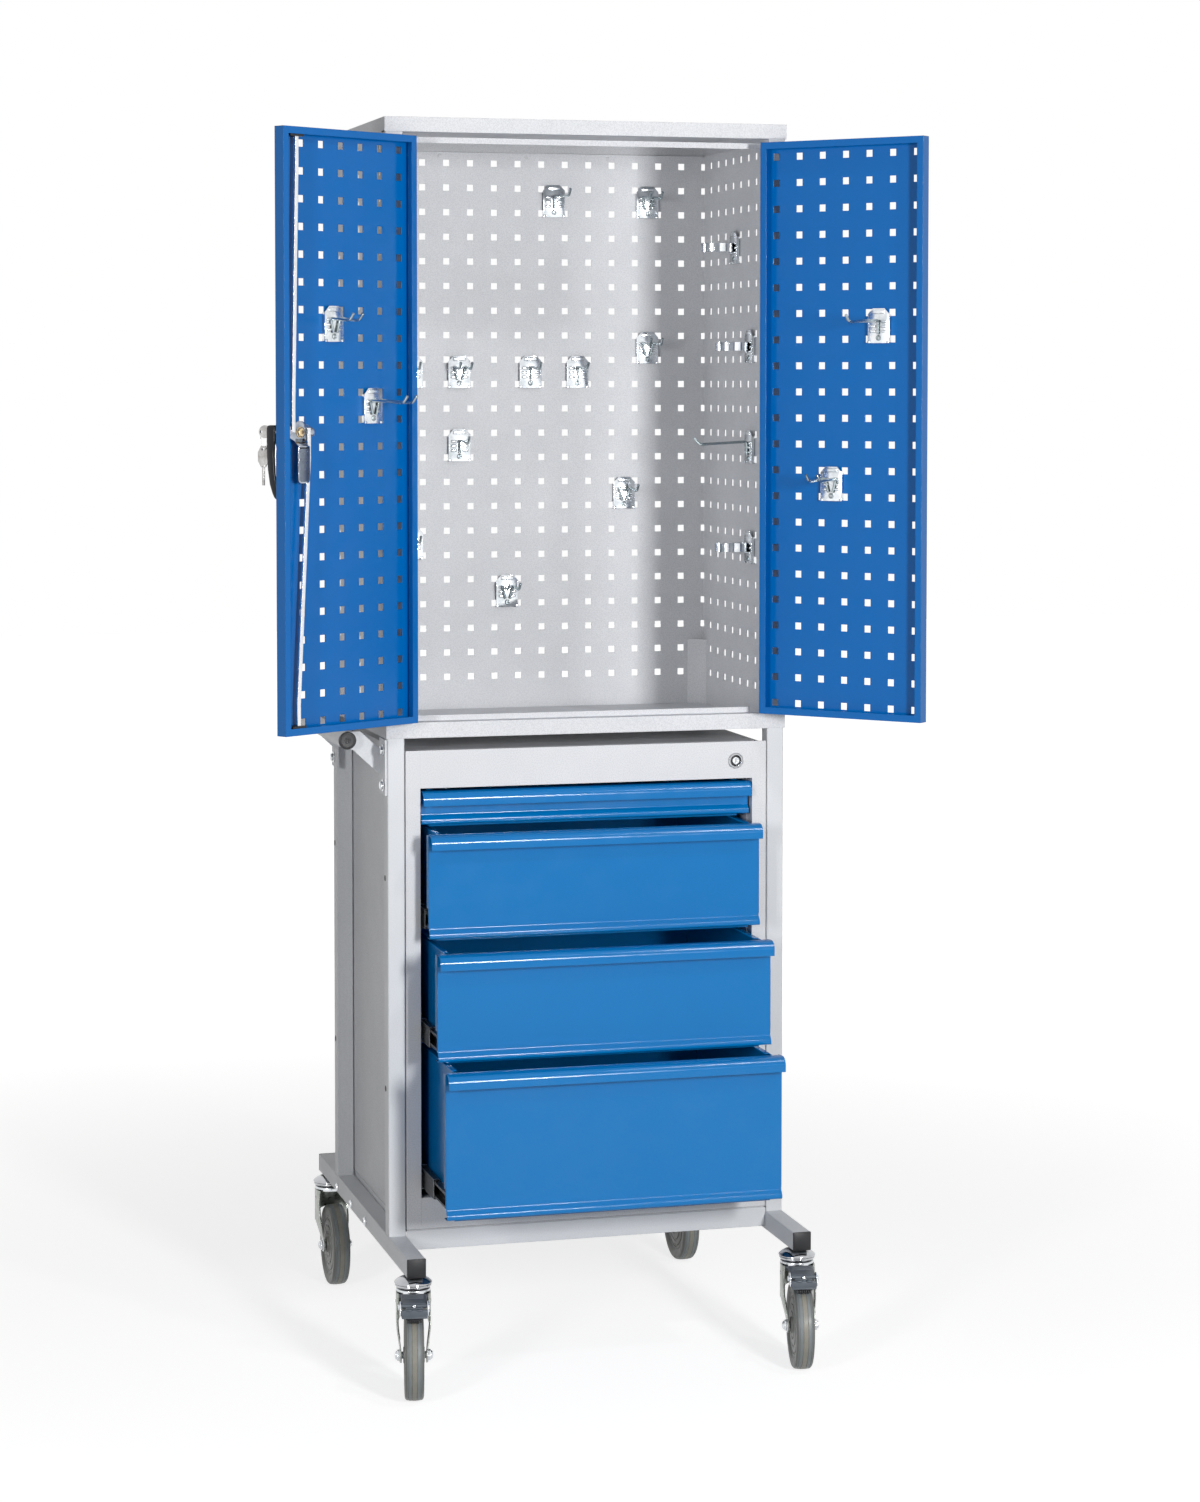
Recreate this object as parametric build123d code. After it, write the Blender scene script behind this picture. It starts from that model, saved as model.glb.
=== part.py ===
from build123d import *
from math import atan, cos, degrees, radians, sin
import os

# A tool cabinet on casters: a perforated locker with two doors over a unit of four drawers, both carried
# by a frame of square tube with a push handle on its left side.
# Millimetres. X runs across, Y from the front to the back, Z up from the floor. The doors stand open and the
# lower drawers are pulled out.

# Sheet metal and running clearance
SHEET = 1.2
FIT = 0.3

# Perforation: square holes on a square grid
PITCH = 38.0
HOLE = 10.0

# Casters
WHEEL_RADIUS = 62.5
WHEEL_WIDTH = 27.0
HUB_RADIUS = 45.0
HUB_WIDTH = 30.0
AXLE_RADIUS = 5.0
NUT_RADIUS = 8.5
NUT_HEIGHT = 8.0
TRAIL = 40.0
FORK_SHEET = 2.5
FORK_TOP_WIDTH = 50.0
FORK_AXLE_WIDTH = 38.0
FORK_LEG_TOP = 44.0
FORK_BOSS = 11.0
FORK_BACK = 14.0
CROWN_HEIGHT = 4.7
RACEWAY_RADIUS = 27.0
RACEWAY_NECK = 13.0
RACEWAY_HEIGHT = 17.5
RACEWAY_FLOOR = 149.0
CASTER_INSET = 24.0
FRONT_HEADING = 11.0
PEDAL_WIDTH = 36.0
PEDAL_SHEET = 3.0
PEDAL_AXIS = (17.0, 139.0)
PEDAL_LENGTH = 56.0
PEDAL_PAD_DROP = 16.5
PEDAL_TUBE = 3.5
PEDAL_TUBE_GAP = 0.7

# Frame of square tube
TUBE = 25.0
TUBE_WALL = 1.5
TUBE_CORNER = 1.2
TUBE_TO_UNIT = 1.5
FRAME_DEPTH = 410.0
FOOT_TUBE = 27.0
FOOT_PROUD = 1.0
FOOT_OVERHANG = 131.0
UPRIGHT_LENGTH = 721.9
CAP_FLANGE = 3.0
CAP_PLUG = 12.0
CAP_OVERLAP = 0.5
RAIL_HEIGHT = 28.0
RAIL_DEPTH = 25.0

# Push handle
HANDLE_RADIUS = 12.5
HANDLE_INSET = 22.0
HANDLE_OFFSET = 53.5
HANDLE_DROP = 3.4
BRACKET_SHEET = 3.0
BRACKET_REACH = 43.5
BRACKET_HEIGHT = 81.0
BRACKET_RISE = 2.0
BRACKET_ARM_DROP = 17.0
BRACKET_ARM = 37.0

# Drawer unit
UNIT_LIFT = 6.5
UNIT_FACE_RISE = 2.0
UNIT_HEADROOM = 18.4
UNIT_STILE = 21.6
UNIT_TOP_RAIL = 54.6
UNIT_BOTTOM_RAIL = 45.5
UNIT_SHEET = 1.5
UNIT_RETURN = 18.0
UNIT_ROOF_DROP = 5.0
POST_DEPTH = 30.0
POST_WIDTH = 22.4

# Drawers from the top: gap over the front, height of the front, and how far each stands out
DRAWER_STACK = ((4.6, 48.5, 0.0), (8.2, 149.8, 54.0), (13.4, 153.0, 109.0), (6.0, 208.0, 161.0))
DRAWER_SIDE_GAP = 2.4
DRAWER_FRONT_SET_BACK = 12.0
DRAWER_BOX_WIDTH = 470.6
DRAWER_BOX_LENGTH = 370.0
DRAWER_FLOOR_RISE = 2.0
LIP_REACH = 20.5
LIP_DROP = 21.0
CREASE_STEP = 3.0
CREASE_HIGH = 11.0
CREASE_LOW = 5.0
FOLD_RETURN = 10.0
FOLD_DROP = 4.8
FOLD_INSET = 14.0

# Drawer slides: three members, one inside the next
SLIDE_HEIGHT = 35.0
SLIDE_LENGTH = 380.0
SLIDE_SET_BACK = 15.0
SLIDE_RISE = 24.0
SLIDE_GAP = 13.1
RACE = 2.9

# Drawer lock
DRAWER_LOCK_INSET = 25.5
DRAWER_LOCK_DROP = 28.3
DRAWER_LOCK_RADIUS = 11.0
DRAWER_LOCK_BARREL = 9.0
DRAWER_LOCK_DEPTH = 22.0
DRAWER_PLUG_RADIUS = 7.0
DRAWER_LOCK_PROUD = 2.0

# Upper cabinet
CABINET_HEIGHT = 887.6
CABINET_OVERHANG = 0.5
TRAY_OVERHANG_X = 1.5
TRAY_OVERHANG_Y = 2.0
TRAY_RIM = 22.6
TRAY_LEDGE = 22.0
TOP_RIM = 21.0
STILE_WIDTH = 25.1
STILE_DEPTH = 25.0
WALL_INSET = 1.7
BACK_INSET = 14.8
STOP_HEIGHT = 8.5
STOP_DROP = 5.5
STOP_SET_BACK = 22.0
SILL_HEIGHT = 8.0
SILL_END = 47.0
CORNER_COVER_HEIGHT = 102.0
CORNER_COVER_BACK = 25.0
CORNER_COVER_SIDE = 19.0

# Doors, measured from the hinge axis
HINGE_AXIS_INSET = 7.4
HINGE_AXIS_PROUD = 4.0
HINGE_EDGE = 4.6
DOOR_CLEARANCE = 1.9
DOOR_DEPTH = 17.5
DOOR_LIP = 10.0
RIGHT_DOOR_WIDTH = 264.3
DOOR_MEETING_GAP = 2.0
LEFT_DOOR_MARGIN = 20.0
RIGHT_DOOR_MARGIN = 18.0
DOOR_TOP_MARGIN = 20.8
DOOR_BOTTOM_MARGIN = 15.0
LEFT_DOOR_OPEN = 146.95
RIGHT_DOOR_OPEN = 132.4

# Hinges
HINGE_LENGTH = 30.0
HINGE_FROM_TOP = 79.1
HINGE_FROM_BOTTOM = 117.1
KNUCKLE_RADIUS = 4.0
LEAF = 1.5
LEAF_DEPTH = 15.0

# Door lock
LOCK_BACKSET = 34.1
LOCK_SHAFT_RADIUS = 5.0
ROSETTE_RADIUS = 17.0
ROSETTE = 3.0
LEVER_LENGTH = 103.0
LEVER_WIDTH = 22.0
LEVER_STAND_OFF = 28.0
LEVER_THICKNESS = 17.0
LEVER_HEAD = 9.5
BARREL_RADIUS = 6.0
BARREL_LENGTH = 14.0
KEY_SHEET = 2.0
KEY_BOW_LENGTH = 24.0
KEY_BOW_HEIGHT = 18.0
KEY_REACH = 17.0
CAM_WIDTH = 54.0
CAM_HEIGHT = 31.0
CAM_SHEET = 2.0
CAM_STAND_OFF = 9.0
TONGUE_WIDTH = 22.0
TONGUE_NECK = 19.0
TONGUE_CRANK = 5.0
TONGUE_REACH = 70.0
ROD_WIDTH = 6.0
ROD_THICKNESS = 2.5
ROD_CRANK = 14.5
ROD_END_OFFSET = 6.6
ROD_STRAIGHT = 40.0
ROD_SET_BACK = 4.3
GUIDE_WIDTH = 25.0
GUIDE_HEIGHT = 4.0

# Tool holders for the perforation: a pressed plate over four holes with wire prongs
HOLDER_WIDTH = 35.0
HOLDER_HEIGHT = 50.0
HOLDER_STAND_OFF = 6.0
HOLDER_CHAMFER = 8.0
PRONG_RADIUS = 2.2
PRONG_RISE = 12.0
LONG_PRONG = 95.0
SHORT_PRONG = 42.0
PRONG_TIP = 18.0
PRONG_TIP_ANGLE = 40.0
FORK_SPREAD = 22.0
# Grid cells that carry one, as column and row counted from the left (or from the hinge) and from the top
BACK_HOLDERS = ((8, 1, 1), (12, 1, 2), (12, 7, 2), (4, 8, 2), (7, 8, 1), (9, 8, 1), (2, 8, 1), (4, 11, 1),
                (11, 13, 2), (2, 15, 1), (6, 17, 1))
SIDE_HOLDERS = ((3, 3, 2), (5, 7, 2), (5, 11, 1), (5, 15, 1))
LEFT_DOOR_HOLDERS = ((3, 6, 1), (1, 9, 2))
RIGHT_DOOR_HOLDERS = ((4, 6, 1), (2, 12, 1))
BACK_GRID_MARGIN = 24.3
SIDE_GRID_MARGIN = 38.8

# Places that follow from the sizes above. Across: from the drawers outwards
SLIDE_INNER_X = DRAWER_BOX_WIDTH / 2
SLIDE_OUTER_X = SLIDE_INNER_X + SLIDE_GAP
UNIT_HALF = SLIDE_OUTER_X + POST_WIDTH + SHEET
OPENING_HALF = UNIT_HALF - UNIT_STILE
DRAWER_HALF = OPENING_HALF - DRAWER_SIDE_GAP
HALF = UNIT_HALF + TUBE_TO_UNIT + TUBE
FOOT_X = HALF + FOOT_PROUD - FOOT_TUBE / 2
CABINET_HALF = HALF + CABINET_OVERHANG
WALL_X = CABINET_HALF - WALL_INSET
STILE_INNER = CABINET_HALF - STILE_WIDTH
HINGE_AXIS_X = STILE_INNER - HINGE_AXIS_INSET
DRAWER_LOCK_X = OPENING_HALF - DRAWER_LOCK_INSET

# From the front to the back
FRONT = -FRAME_DEPTH / 2
BACK = FRAME_DEPTH / 2
BACK_FACE = BACK - BACK_INSET - SHEET
HINGE_AXIS_Y = FRONT - HINGE_AXIS_PROUD
FOOT_LENGTH = FRAME_DEPTH + 2 * FOOT_OVERHANG
HANDLE_LENGTH = FRAME_DEPTH - 2 * HANDLE_INSET
CASTER_Y = FOOT_LENGTH / 2 - CASTER_INSET

# Upwards from the floor
CROWN_TOP = RACEWAY_FLOOR - FIT
FOOT_UNDERSIDE = RACEWAY_FLOOR + RACEWAY_HEIGHT
FOOT_TOP = FOOT_UNDERSIDE + FOOT_TUBE
UNIT_FLOOR = FOOT_TOP + UNIT_LIFT
UNIT_BOTTOM = UNIT_FLOOR + UNIT_FACE_RISE
DECK = FOOT_TOP + UPRIGHT_LENGTH
UNIT_TOP = DECK - UNIT_HEADROOM
DRAWER_LOCK_Z = UNIT_TOP - DRAWER_LOCK_DROP
HANDLE_Z = DECK - HANDLE_DROP
CABINET_TOP = DECK + CABINET_HEIGHT
DOOR_BOTTOM = DECK + TRAY_RIM + DOOR_CLEARANCE
DOOR_TOP = CABINET_TOP - TOP_RIM - STOP_DROP - DOOR_CLEARANCE
HINGE_CENTRES = (DOOR_TOP - HINGE_FROM_TOP, DOOR_BOTTOM + HINGE_FROM_BOTTOM)
GRID_TOP = CABINET_TOP - PITCH
BACK_FIRST_COLUMN = BACK_GRID_MARGIN - WALL_X
SIDE_FIRST_COLUMN = BACK_FACE - SIDE_GRID_MARGIN

# On the doors
LEFT_DOOR_WIDTH = 2 * (HINGE_AXIS_X - HINGE_EDGE) - DOOR_MEETING_GAP - RIGHT_DOOR_WIDTH
LOCK_U = HINGE_EDGE + LEFT_DOOR_WIDTH - LOCK_BACKSET
LOCK_Z = (DOOR_BOTTOM + DOOR_TOP) / 2
SKIN_IN = HINGE_AXIS_PROUD + SHEET
CAM_V = SKIN_IN + CAM_STAND_OFF
ROD_V = CAM_V + CAM_SHEET + FIT
ROD_END_U = LOCK_U + ROD_END_OFFSET


def prism(outline, axis, start, end):
    """Extrudes an outline along one axis: X takes (y, z), Y takes (x, z) and Z takes (x, y)."""
    places = {
        "X": lambda u, v: (start, u, v),
        "Y": lambda u, v: (u, start, v),
        "Z": lambda u, v: (u, v, start),
    }
    steps = {"X": (1, 0, 0), "Y": (0, 1, 0), "Z": (0, 0, 1)}
    face = Face(Wire.make_polygon([places[axis](u, v) for u, v in outline], close=True))
    return Solid.extrude(face, Vector(*steps[axis]) * (end - start))


def folded(path, thickness):
    """Outline of a folded sheet that lies to the left of its path."""
    points = [Vector(x, y) for x, y in path]
    runs = [(b - a).normalized() for a, b in zip(points, points[1:])]
    inner = []
    for index, point in enumerate(points):
        before = runs[max(index - 1, 0)]
        after = runs[min(index, len(runs) - 1)]
        normal = Vector(-before.Y - after.Y, before.X + after.X).normalized()
        reach = thickness / normal.dot(Vector(-after.Y, after.X))
        inner.append(point + normal * reach)
    return [(p.X, p.Y) for p in points] + [(p.X, p.Y) for p in reversed(inner)]


def block(x0, x1, y0, y1, z0, z1):
    """One flat run of metal between three pairs of faces."""
    return prism([(x0, y0), (x1, y0), (x1, y1), (x0, y1)], "Z", z0, z1)


def cylinder(radius, start, end):
    """A round bar between two points."""
    run = Vector(*end) - Vector(*start)
    return Solid.make_cylinder(radius, run.length, Plane(origin=start, z_dir=run))


def turned(profile):
    """Revolves (radius, height) points about Z."""
    face = Face(Wire.make_polygon([(r, 0, z) for r, z in profile], close=True))
    return Solid.revolve(face, 360, Axis.Z)


def placed(shapes, place):
    return [shape.moved(place) for shape in shapes]


def both_sides(shape):
    return [shape, shape.mirror(Plane.YZ)]


def both_ends(shapes):
    return [copy for shape in shapes for copy in (shape, shape.mirror(Plane.XZ))]


# ---- Frame ----


def tube_section(side):
    """Square tube with broken corners."""
    outer = chamfer(Rectangle(side, side).vertices(), TUBE_CORNER)
    return outer - Rectangle(side - 2 * TUBE_WALL, side - 2 * TUBE_WALL)


def frame_uprights():
    tube = extrude(tube_section(TUBE), UPRIGHT_LENGTH)
    corner = tube.moved(Location((HALF - TUBE / 2, FRONT + TUBE / 2, FOOT_TOP)))
    return both_ends(both_sides(corner.solid()))


def frame_feet():
    run = FOOT_LENGTH - 2 * CAP_FLANGE
    tube = extrude(tube_section(FOOT_TUBE), run).solid()
    centre = (FOOT_X, run / 2, FOOT_UNDERSIDE + FOOT_TUBE / 2)
    return both_sides(tube.moved(Location(centre, (90, 0, 0))))


def end_caps():
    """Black plugs in the four foot ends and the two ends of the handle."""
    flange = extrude(Rectangle(FOOT_TUBE + CAP_OVERLAP, FOOT_TUBE + CAP_OVERLAP), CAP_FLANGE)
    bore = FOOT_TUBE - 2 * TUBE_WALL
    plug = extrude(Rectangle(bore, bore), -CAP_PLUG)
    place = Location((FOOT_X, -FOOT_LENGTH / 2 + CAP_FLANGE, FOOT_UNDERSIDE + FOOT_TUBE / 2), (90, 0, 0))
    feet = both_ends(both_sides((flange + plug).solid().moved(place)))
    bore_radius = HANDLE_RADIUS - TUBE_WALL
    rim = HANDLE_RADIUS + CAP_OVERLAP
    button = turned([(0, -CAP_PLUG), (bore_radius, -CAP_PLUG), (bore_radius, 0), (rim, 0),
                     (rim - 1, CAP_FLANGE), (0, CAP_FLANGE)])
    end = Location((-HALF - HANDLE_OFFSET, -HANDLE_LENGTH / 2 + CAP_FLANGE, HANDLE_Z), (90, 0, 0))
    return feet + both_ends([button.moved(end)])


def cross_rails():
    """Folded channels between the feet, with the drawer unit on top of them."""
    span = FOOT_X - FOOT_TUBE / 2
    inside = FRONT + RAIL_DEPTH
    rim = UNIT_FLOOR - RAIL_HEIGHT
    path = [(inside, rim), (FRONT, rim), (FRONT, UNIT_FLOOR), (inside, UNIT_FLOOR)]
    return both_ends([prism(folded(path[::-1], TUBE_WALL), "X", -span, span)])


# ---- Push handle ----


def handle_tube():
    length = HANDLE_LENGTH - 2 * CAP_FLANGE
    ring = Circle(HANDLE_RADIUS) - Circle(HANDLE_RADIUS - TUBE_WALL)
    tube = extrude(ring, length).solid()
    return tube.moved(Location((-HALF - HANDLE_OFFSET, length / 2, HANDLE_Z), (90, 0, 0)))


def handle_brackets():
    """Plates bolted to the uprights, each bent out into an arm that carries the tube."""
    face = -HALF
    y = FRONT + BRACKET_REACH
    top = HANDLE_Z + BRACKET_RISE
    flange = block(face - BRACKET_SHEET, face, FRONT + BRACKET_SHEET, y, top - BRACKET_HEIGHT, top)
    tube_x = face - HANDLE_OFFSET
    high = top - BRACKET_ARM_DROP
    low = high - BRACKET_ARM
    band = HANDLE_RADIUS - TUBE_WALL
    arm = [(face - BRACKET_SHEET, low), (face - BRACKET_SHEET, high), (tube_x + 2 * band, HANDLE_Z + band),
           (tube_x, HANDLE_Z + band), (tube_x, HANDLE_Z - band),
           (tube_x + HANDLE_RADIUS, HANDLE_Z - 1.5 * band)]
    plate = prism(arm, "Y", y - BRACKET_SHEET, y)
    tube = cylinder(HANDLE_RADIUS, (tube_x, FRONT, HANDLE_Z), (tube_x, 0, HANDLE_Z))
    return both_ends([(flange + plate - tube).solid()])


# ---- Casters ----


def raceway():
    """Swivel head under a foot: a turned cup that narrows to its stem."""
    return turned([(0, 0), (RACEWAY_RADIUS, 0), (RACEWAY_RADIUS, 3), (RACEWAY_NECK, RACEWAY_HEIGHT),
                   (0, RACEWAY_HEIGHT)])


def fork():
    """Crown, and two legs that narrow to the axle; the wheel trails along +X here."""
    crown_bottom = CROWN_TOP - CROWN_HEIGHT
    crown_radius = FORK_TOP_WIDTH / 2 - 1
    crown = turned([(0, crown_bottom), (crown_radius, crown_bottom), (crown_radius, CROWN_TOP), (0, CROWN_TOP)])
    drop = crown_bottom - WHEEL_RADIUS
    lean = degrees(atan((FORK_TOP_WIDTH - FORK_AXLE_WIDTH) / 2 / drop))
    half = FORK_LEG_TOP / 2
    wide = FORK_BOSS
    narrow = FORK_BOSS * 0.4
    outline = [(-half, 0), (half, 0), (TRAIL + wide, narrow - drop), (TRAIL + narrow, -drop - wide),
               (TRAIL - narrow, -drop - wide), (TRAIL - wide, narrow - drop), (-half, -FORK_BACK)]
    leg = prism(outline, "Y", 0, FORK_SHEET)
    leg = leg.moved(Location((0, FORK_TOP_WIDTH / 2 - FORK_SHEET, crown_bottom), (-lean, 0, 0)))
    inside = FORK_AXLE_WIDTH / 2 - FORK_SHEET / 2
    axle = cylinder(AXLE_RADIUS, (TRAIL, -inside, WHEEL_RADIUS), (TRAIL, inside, WHEEL_RADIUS))
    nut = extrude(RegularPolygon(NUT_RADIUS, 6), NUT_HEIGHT + FORK_SHEET / 2).solid()
    nut = nut.moved(Location((TRAIL, -inside, WHEEL_RADIUS), (90, 0, 0)))
    return [crown, (leg + leg.mirror(Plane.XZ) + axle + nut + nut.mirror(Plane.XZ)).solid()]


def wheel_turned(profile):
    """Revolves a wheel section about the axle, which lies along Y."""
    return turned(profile).moved(Location((TRAIL, 0, WHEEL_RADIUS), (90, 0, 0)))


def tyre():
    half = WHEEL_WIDTH / 2
    return wheel_turned([(HUB_RADIUS, 3 - half), (WHEEL_RADIUS - 6, -half), (WHEEL_RADIUS, 7 - half),
                         (WHEEL_RADIUS, half - 7), (WHEEL_RADIUS - 6, half), (HUB_RADIUS, half - 3)])


def hub():
    half = WHEEL_WIDTH / 2 - 3
    bore = AXLE_RADIUS + FIT
    boss = HUB_WIDTH / 2
    return wheel_turned([(bore, -boss), (HUB_RADIUS, -half), (HUB_RADIUS, half), (bore, boss)])


def pedal():
    """Brake pedal over the front of the wheel, on a cross tube between the fork's legs."""
    x, z = PEDAL_AXIS
    reach = FORK_TOP_WIDTH / 2 - FORK_SHEET - PEDAL_TUBE_GAP
    tube = extrude(RegularPolygon(PEDAL_TUBE, 8), 2 * reach).solid().moved(Location((x, reach, z), (90, 0, 0)))
    end = x + PEDAL_LENGTH
    path = [(x, z), (end - 25, z + 4), (end - 7, z + 1), (end, z - 8), (end, z - PEDAL_PAD_DROP)]
    plate = prism(folded(path[::-1], PEDAL_SHEET), "Y", -PEDAL_WIDTH / 2, PEDAL_WIDTH / 2)
    return (plate + tube).solid()


def caster_place(side, end, heading):
    """Where a caster stands, with its wheel trailing towards the front and turned by the heading."""
    return Location((side * FOOT_X, end * CASTER_Y, 0), (0, 0, -90 - heading))


CASTERS = {
    "front_left": caster_place(-1, -1, FRONT_HEADING),
    "front_right": caster_place(1, -1, FRONT_HEADING),
    "rear_left": caster_place(-1, 1, 0),
    "rear_right": caster_place(1, 1, 0),
}


# ---- Drawer unit ----


def unit_shell():
    """Sides, floor, roof and back of the drawer unit, with the posts that carry the slides."""
    half = UNIT_HALF
    skin = FRONT + UNIT_SHEET
    side = block(half - SHEET, half, skin, BACK, UNIT_BOTTOM, UNIT_TOP - UNIT_ROOF_DROP)
    inner = half - SHEET
    floor = block(-inner, inner, skin, BACK, UNIT_FLOOR, UNIT_FLOOR + SHEET)
    roof_top = UNIT_TOP - UNIT_ROOF_DROP
    roof = block(-half, half, FRONT + UNIT_RETURN, BACK, roof_top, roof_top + SHEET)
    back = block(-inner, inner, BACK - SHEET, BACK, UNIT_FLOOR + SHEET, roof_top)
    post = [(inner, POST_DEPTH), (SLIDE_OUTER_X, POST_DEPTH), (SLIDE_OUTER_X, 0), (inner, 0)]
    post = folded(post, SHEET)
    post = [(x, y + skin + UNIT_RETURN) for x, y in post]
    front_post = prism(post, "Z", UNIT_FLOOR + SHEET, roof_top)
    rear_post = front_post.mirror(Plane.XZ)
    return both_sides(side) + [floor, roof, back] + both_sides(front_post) + both_sides(rear_post)


def unit_face():
    """Front frame of the drawer unit: two stiles and two rails, folded back round the opening."""
    inside = FRONT + UNIT_RETURN
    high = UNIT_TOP - UNIT_TOP_RAIL
    low = UNIT_BOTTOM + UNIT_BOTTOM_RAIL
    top = folded([(inside, UNIT_TOP), (FRONT, UNIT_TOP), (FRONT, high), (inside, high)], UNIT_SHEET)
    top = prism(top, "X", -OPENING_HALF, OPENING_HALF)
    bore = Plane((DRAWER_LOCK_X, FRONT, DRAWER_LOCK_Z), z_dir=(0, 1, 0)) * Circle(DRAWER_LOCK_BARREL)
    bore = extrude(bore, UNIT_SHEET)
    bottom = folded([(inside, low), (FRONT, low), (FRONT, UNIT_BOTTOM)], UNIT_SHEET)
    bottom = prism(bottom, "X", -OPENING_HALF, OPENING_HALF)
    stile = folded([(OPENING_HALF, inside), (OPENING_HALF, FRONT), (UNIT_HALF, FRONT)], UNIT_SHEET)
    stile = prism(stile, "Z", UNIT_BOTTOM, UNIT_TOP)
    return [(top - bore).solid(), bottom] + both_sides(stile)


def drawer_lock():
    """Cylinder lock in the top rail: a flanged housing and the plug that the key turns."""
    inner = DRAWER_PLUG_RADIUS + FIT
    proud = DRAWER_LOCK_PROUD
    barrel = turned([(inner, -DRAWER_LOCK_DEPTH), (DRAWER_LOCK_BARREL, -DRAWER_LOCK_DEPTH),
                     (DRAWER_LOCK_BARREL, 0), (DRAWER_LOCK_RADIUS, 0), (DRAWER_LOCK_RADIUS, proud), (inner, proud)])
    plug = Solid.make_cylinder(DRAWER_PLUG_RADIUS, DRAWER_LOCK_DEPTH + proud, Plane((0, 0, -DRAWER_LOCK_DEPTH)))
    keyway = block(-0.7, 0.7, -4, 4, proud - 4, proud + 1)
    place = Location((DRAWER_LOCK_X, FRONT, DRAWER_LOCK_Z), (90, 0, 0))
    return barrel.moved(place), (plug - keyway).solid().moved(place)


def channel(web, flange, half, race):
    """Section of one slide member: a web at one side and two ball races that reach to the other."""
    skin = web + (SHEET if flange > web else -SHEET)
    return [(web, -half), (flange, -half), (flange, race - half), (skin, race - half),
            (skin, half - race), (flange, half - race), (flange, half), (web, half)]


def slide(drawer):
    """Outer, middle and inner members of one drawer's pair of slides."""
    bottom, height, out = drawer
    z = bottom + SLIDE_RISE
    outer_half = SLIDE_HEIGHT / 2
    middle_half = outer_half - RACE - FIT
    inner_half = middle_half - RACE - FIT
    members = (
        (channel(SLIDE_OUTER_X, SLIDE_INNER_X + 3, outer_half, RACE), 0),
        (channel(SLIDE_OUTER_X - SHEET - FIT, SLIDE_INNER_X + 3, middle_half, RACE), out / 2),
        (channel(SLIDE_INNER_X, SLIDE_OUTER_X - 2 * SHEET - 2 * FIT, inner_half, RACE), out),
    )
    pieces = []
    for section, pulled in members:
        outline = [(x, dz + z) for x, dz in section]
        start = FRONT + SLIDE_SET_BACK - pulled
        pieces.append(both_sides(prism(outline, "Y", start, start + SLIDE_LENGTH)))
    return pieces


def drawer_front(bottom, height, plane):
    """Folded front: two creases near the lower edge, a return under them and a rolled pull along the top."""
    half = DRAWER_HALF
    top = bottom + height
    step = CREASE_STEP
    path = [(plane, top), (plane, bottom + CREASE_HIGH), (plane - step, bottom + CREASE_HIGH - step),
            (plane - step, bottom + CREASE_LOW), (plane - 2 * step, bottom + CREASE_LOW - step),
            (plane - 2 * step, bottom), (plane + FOLD_RETURN, bottom)]
    front = prism(folded(path, SHEET), "X", -half, half)
    back = plane + FOLD_RETURN
    fold = block(-half + FOLD_INSET, half - FOLD_INSET, back - SHEET, back, bottom - FOLD_DROP, bottom)
    return [(front + fold).solid(), pull_lip(top, plane)]


def quarter(y, z, reach, rise):
    """Arc from the top of a quarter round to its foremost point."""
    turns = (0, 45, 90)
    return ThreePointArc(*((y - reach * sin(radians(t)), z + rise * cos(radians(t))) for t in turns))


def pull_lip(top, plane):
    """Rolled pull: a quarter round that stands out from the top edge and is open below."""
    outer = quarter(plane, top - LIP_DROP, LIP_REACH, LIP_DROP)
    inner = quarter(plane, top - LIP_DROP, LIP_REACH - SHEET, LIP_DROP - SHEET)
    section = make_face([outer, Line(outer @ 1, inner @ 1), inner, Line(inner @ 0, outer @ 0)])
    return extrude(Plane.YZ.offset(-DRAWER_HALF) * section, 2 * DRAWER_HALF).solid()


def drawer_stack():
    """Lower edge, height and pull of every drawer, stacked down from the top rail."""
    drawers = []
    edge = UNIT_TOP - UNIT_TOP_RAIL
    for gap, height, out in DRAWER_STACK:
        edge -= gap + height
        drawers.append((edge, height, out))
    return drawers


def drawer(drawer_sizes):
    bottom, height, out = drawer_sizes
    plane = FRONT + DRAWER_FRONT_SET_BACK - out
    inside = plane + SHEET
    back = inside + DRAWER_BOX_LENGTH
    half = DRAWER_BOX_WIDTH / 2
    floor_z = bottom + DRAWER_FLOOR_RISE
    side = block(half - SHEET, half, inside, back, floor_z, bottom + height)
    floor = block(SHEET - half, half - SHEET, inside, back, floor_z, floor_z + SHEET)
    rear = block(SHEET - half, half - SHEET, back - SHEET, back, floor_z + SHEET, bottom + height)
    return drawer_front(bottom, height, plane) + both_sides(side) + [floor, rear]


# ---- Upper cabinet ----


def top_cover():
    """Flat cover with a rim folded down all round."""
    half = CABINET_HALF + TRAY_OVERHANG_X
    front = FRONT - TRAY_OVERHANG_Y
    low = CABINET_TOP - TOP_RIM
    path = [(front + TRAY_LEDGE, low), (front, low), (front, CABINET_TOP), (BACK, CABINET_TOP), (BACK, low)]
    cover = prism(folded(path[::-1], SHEET), "X", -half, half)
    slot = rod_slot(low - SHEET, low + 2 * SHEET)
    end = block(half - SHEET, half, front + SHEET, BACK - SHEET, low, CABINET_TOP - SHEET)
    stop_top = low - STOP_DROP
    y = FRONT + STOP_SET_BACK
    stop = folded([(y, stop_top - STOP_HEIGHT), (y, stop_top), (y + 12, stop_top)][::-1], SHEET)
    return [(cover - slot).solid()] + both_sides(end) + [prism(stop, "X", -STILE_INNER, STILE_INNER)]


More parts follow.
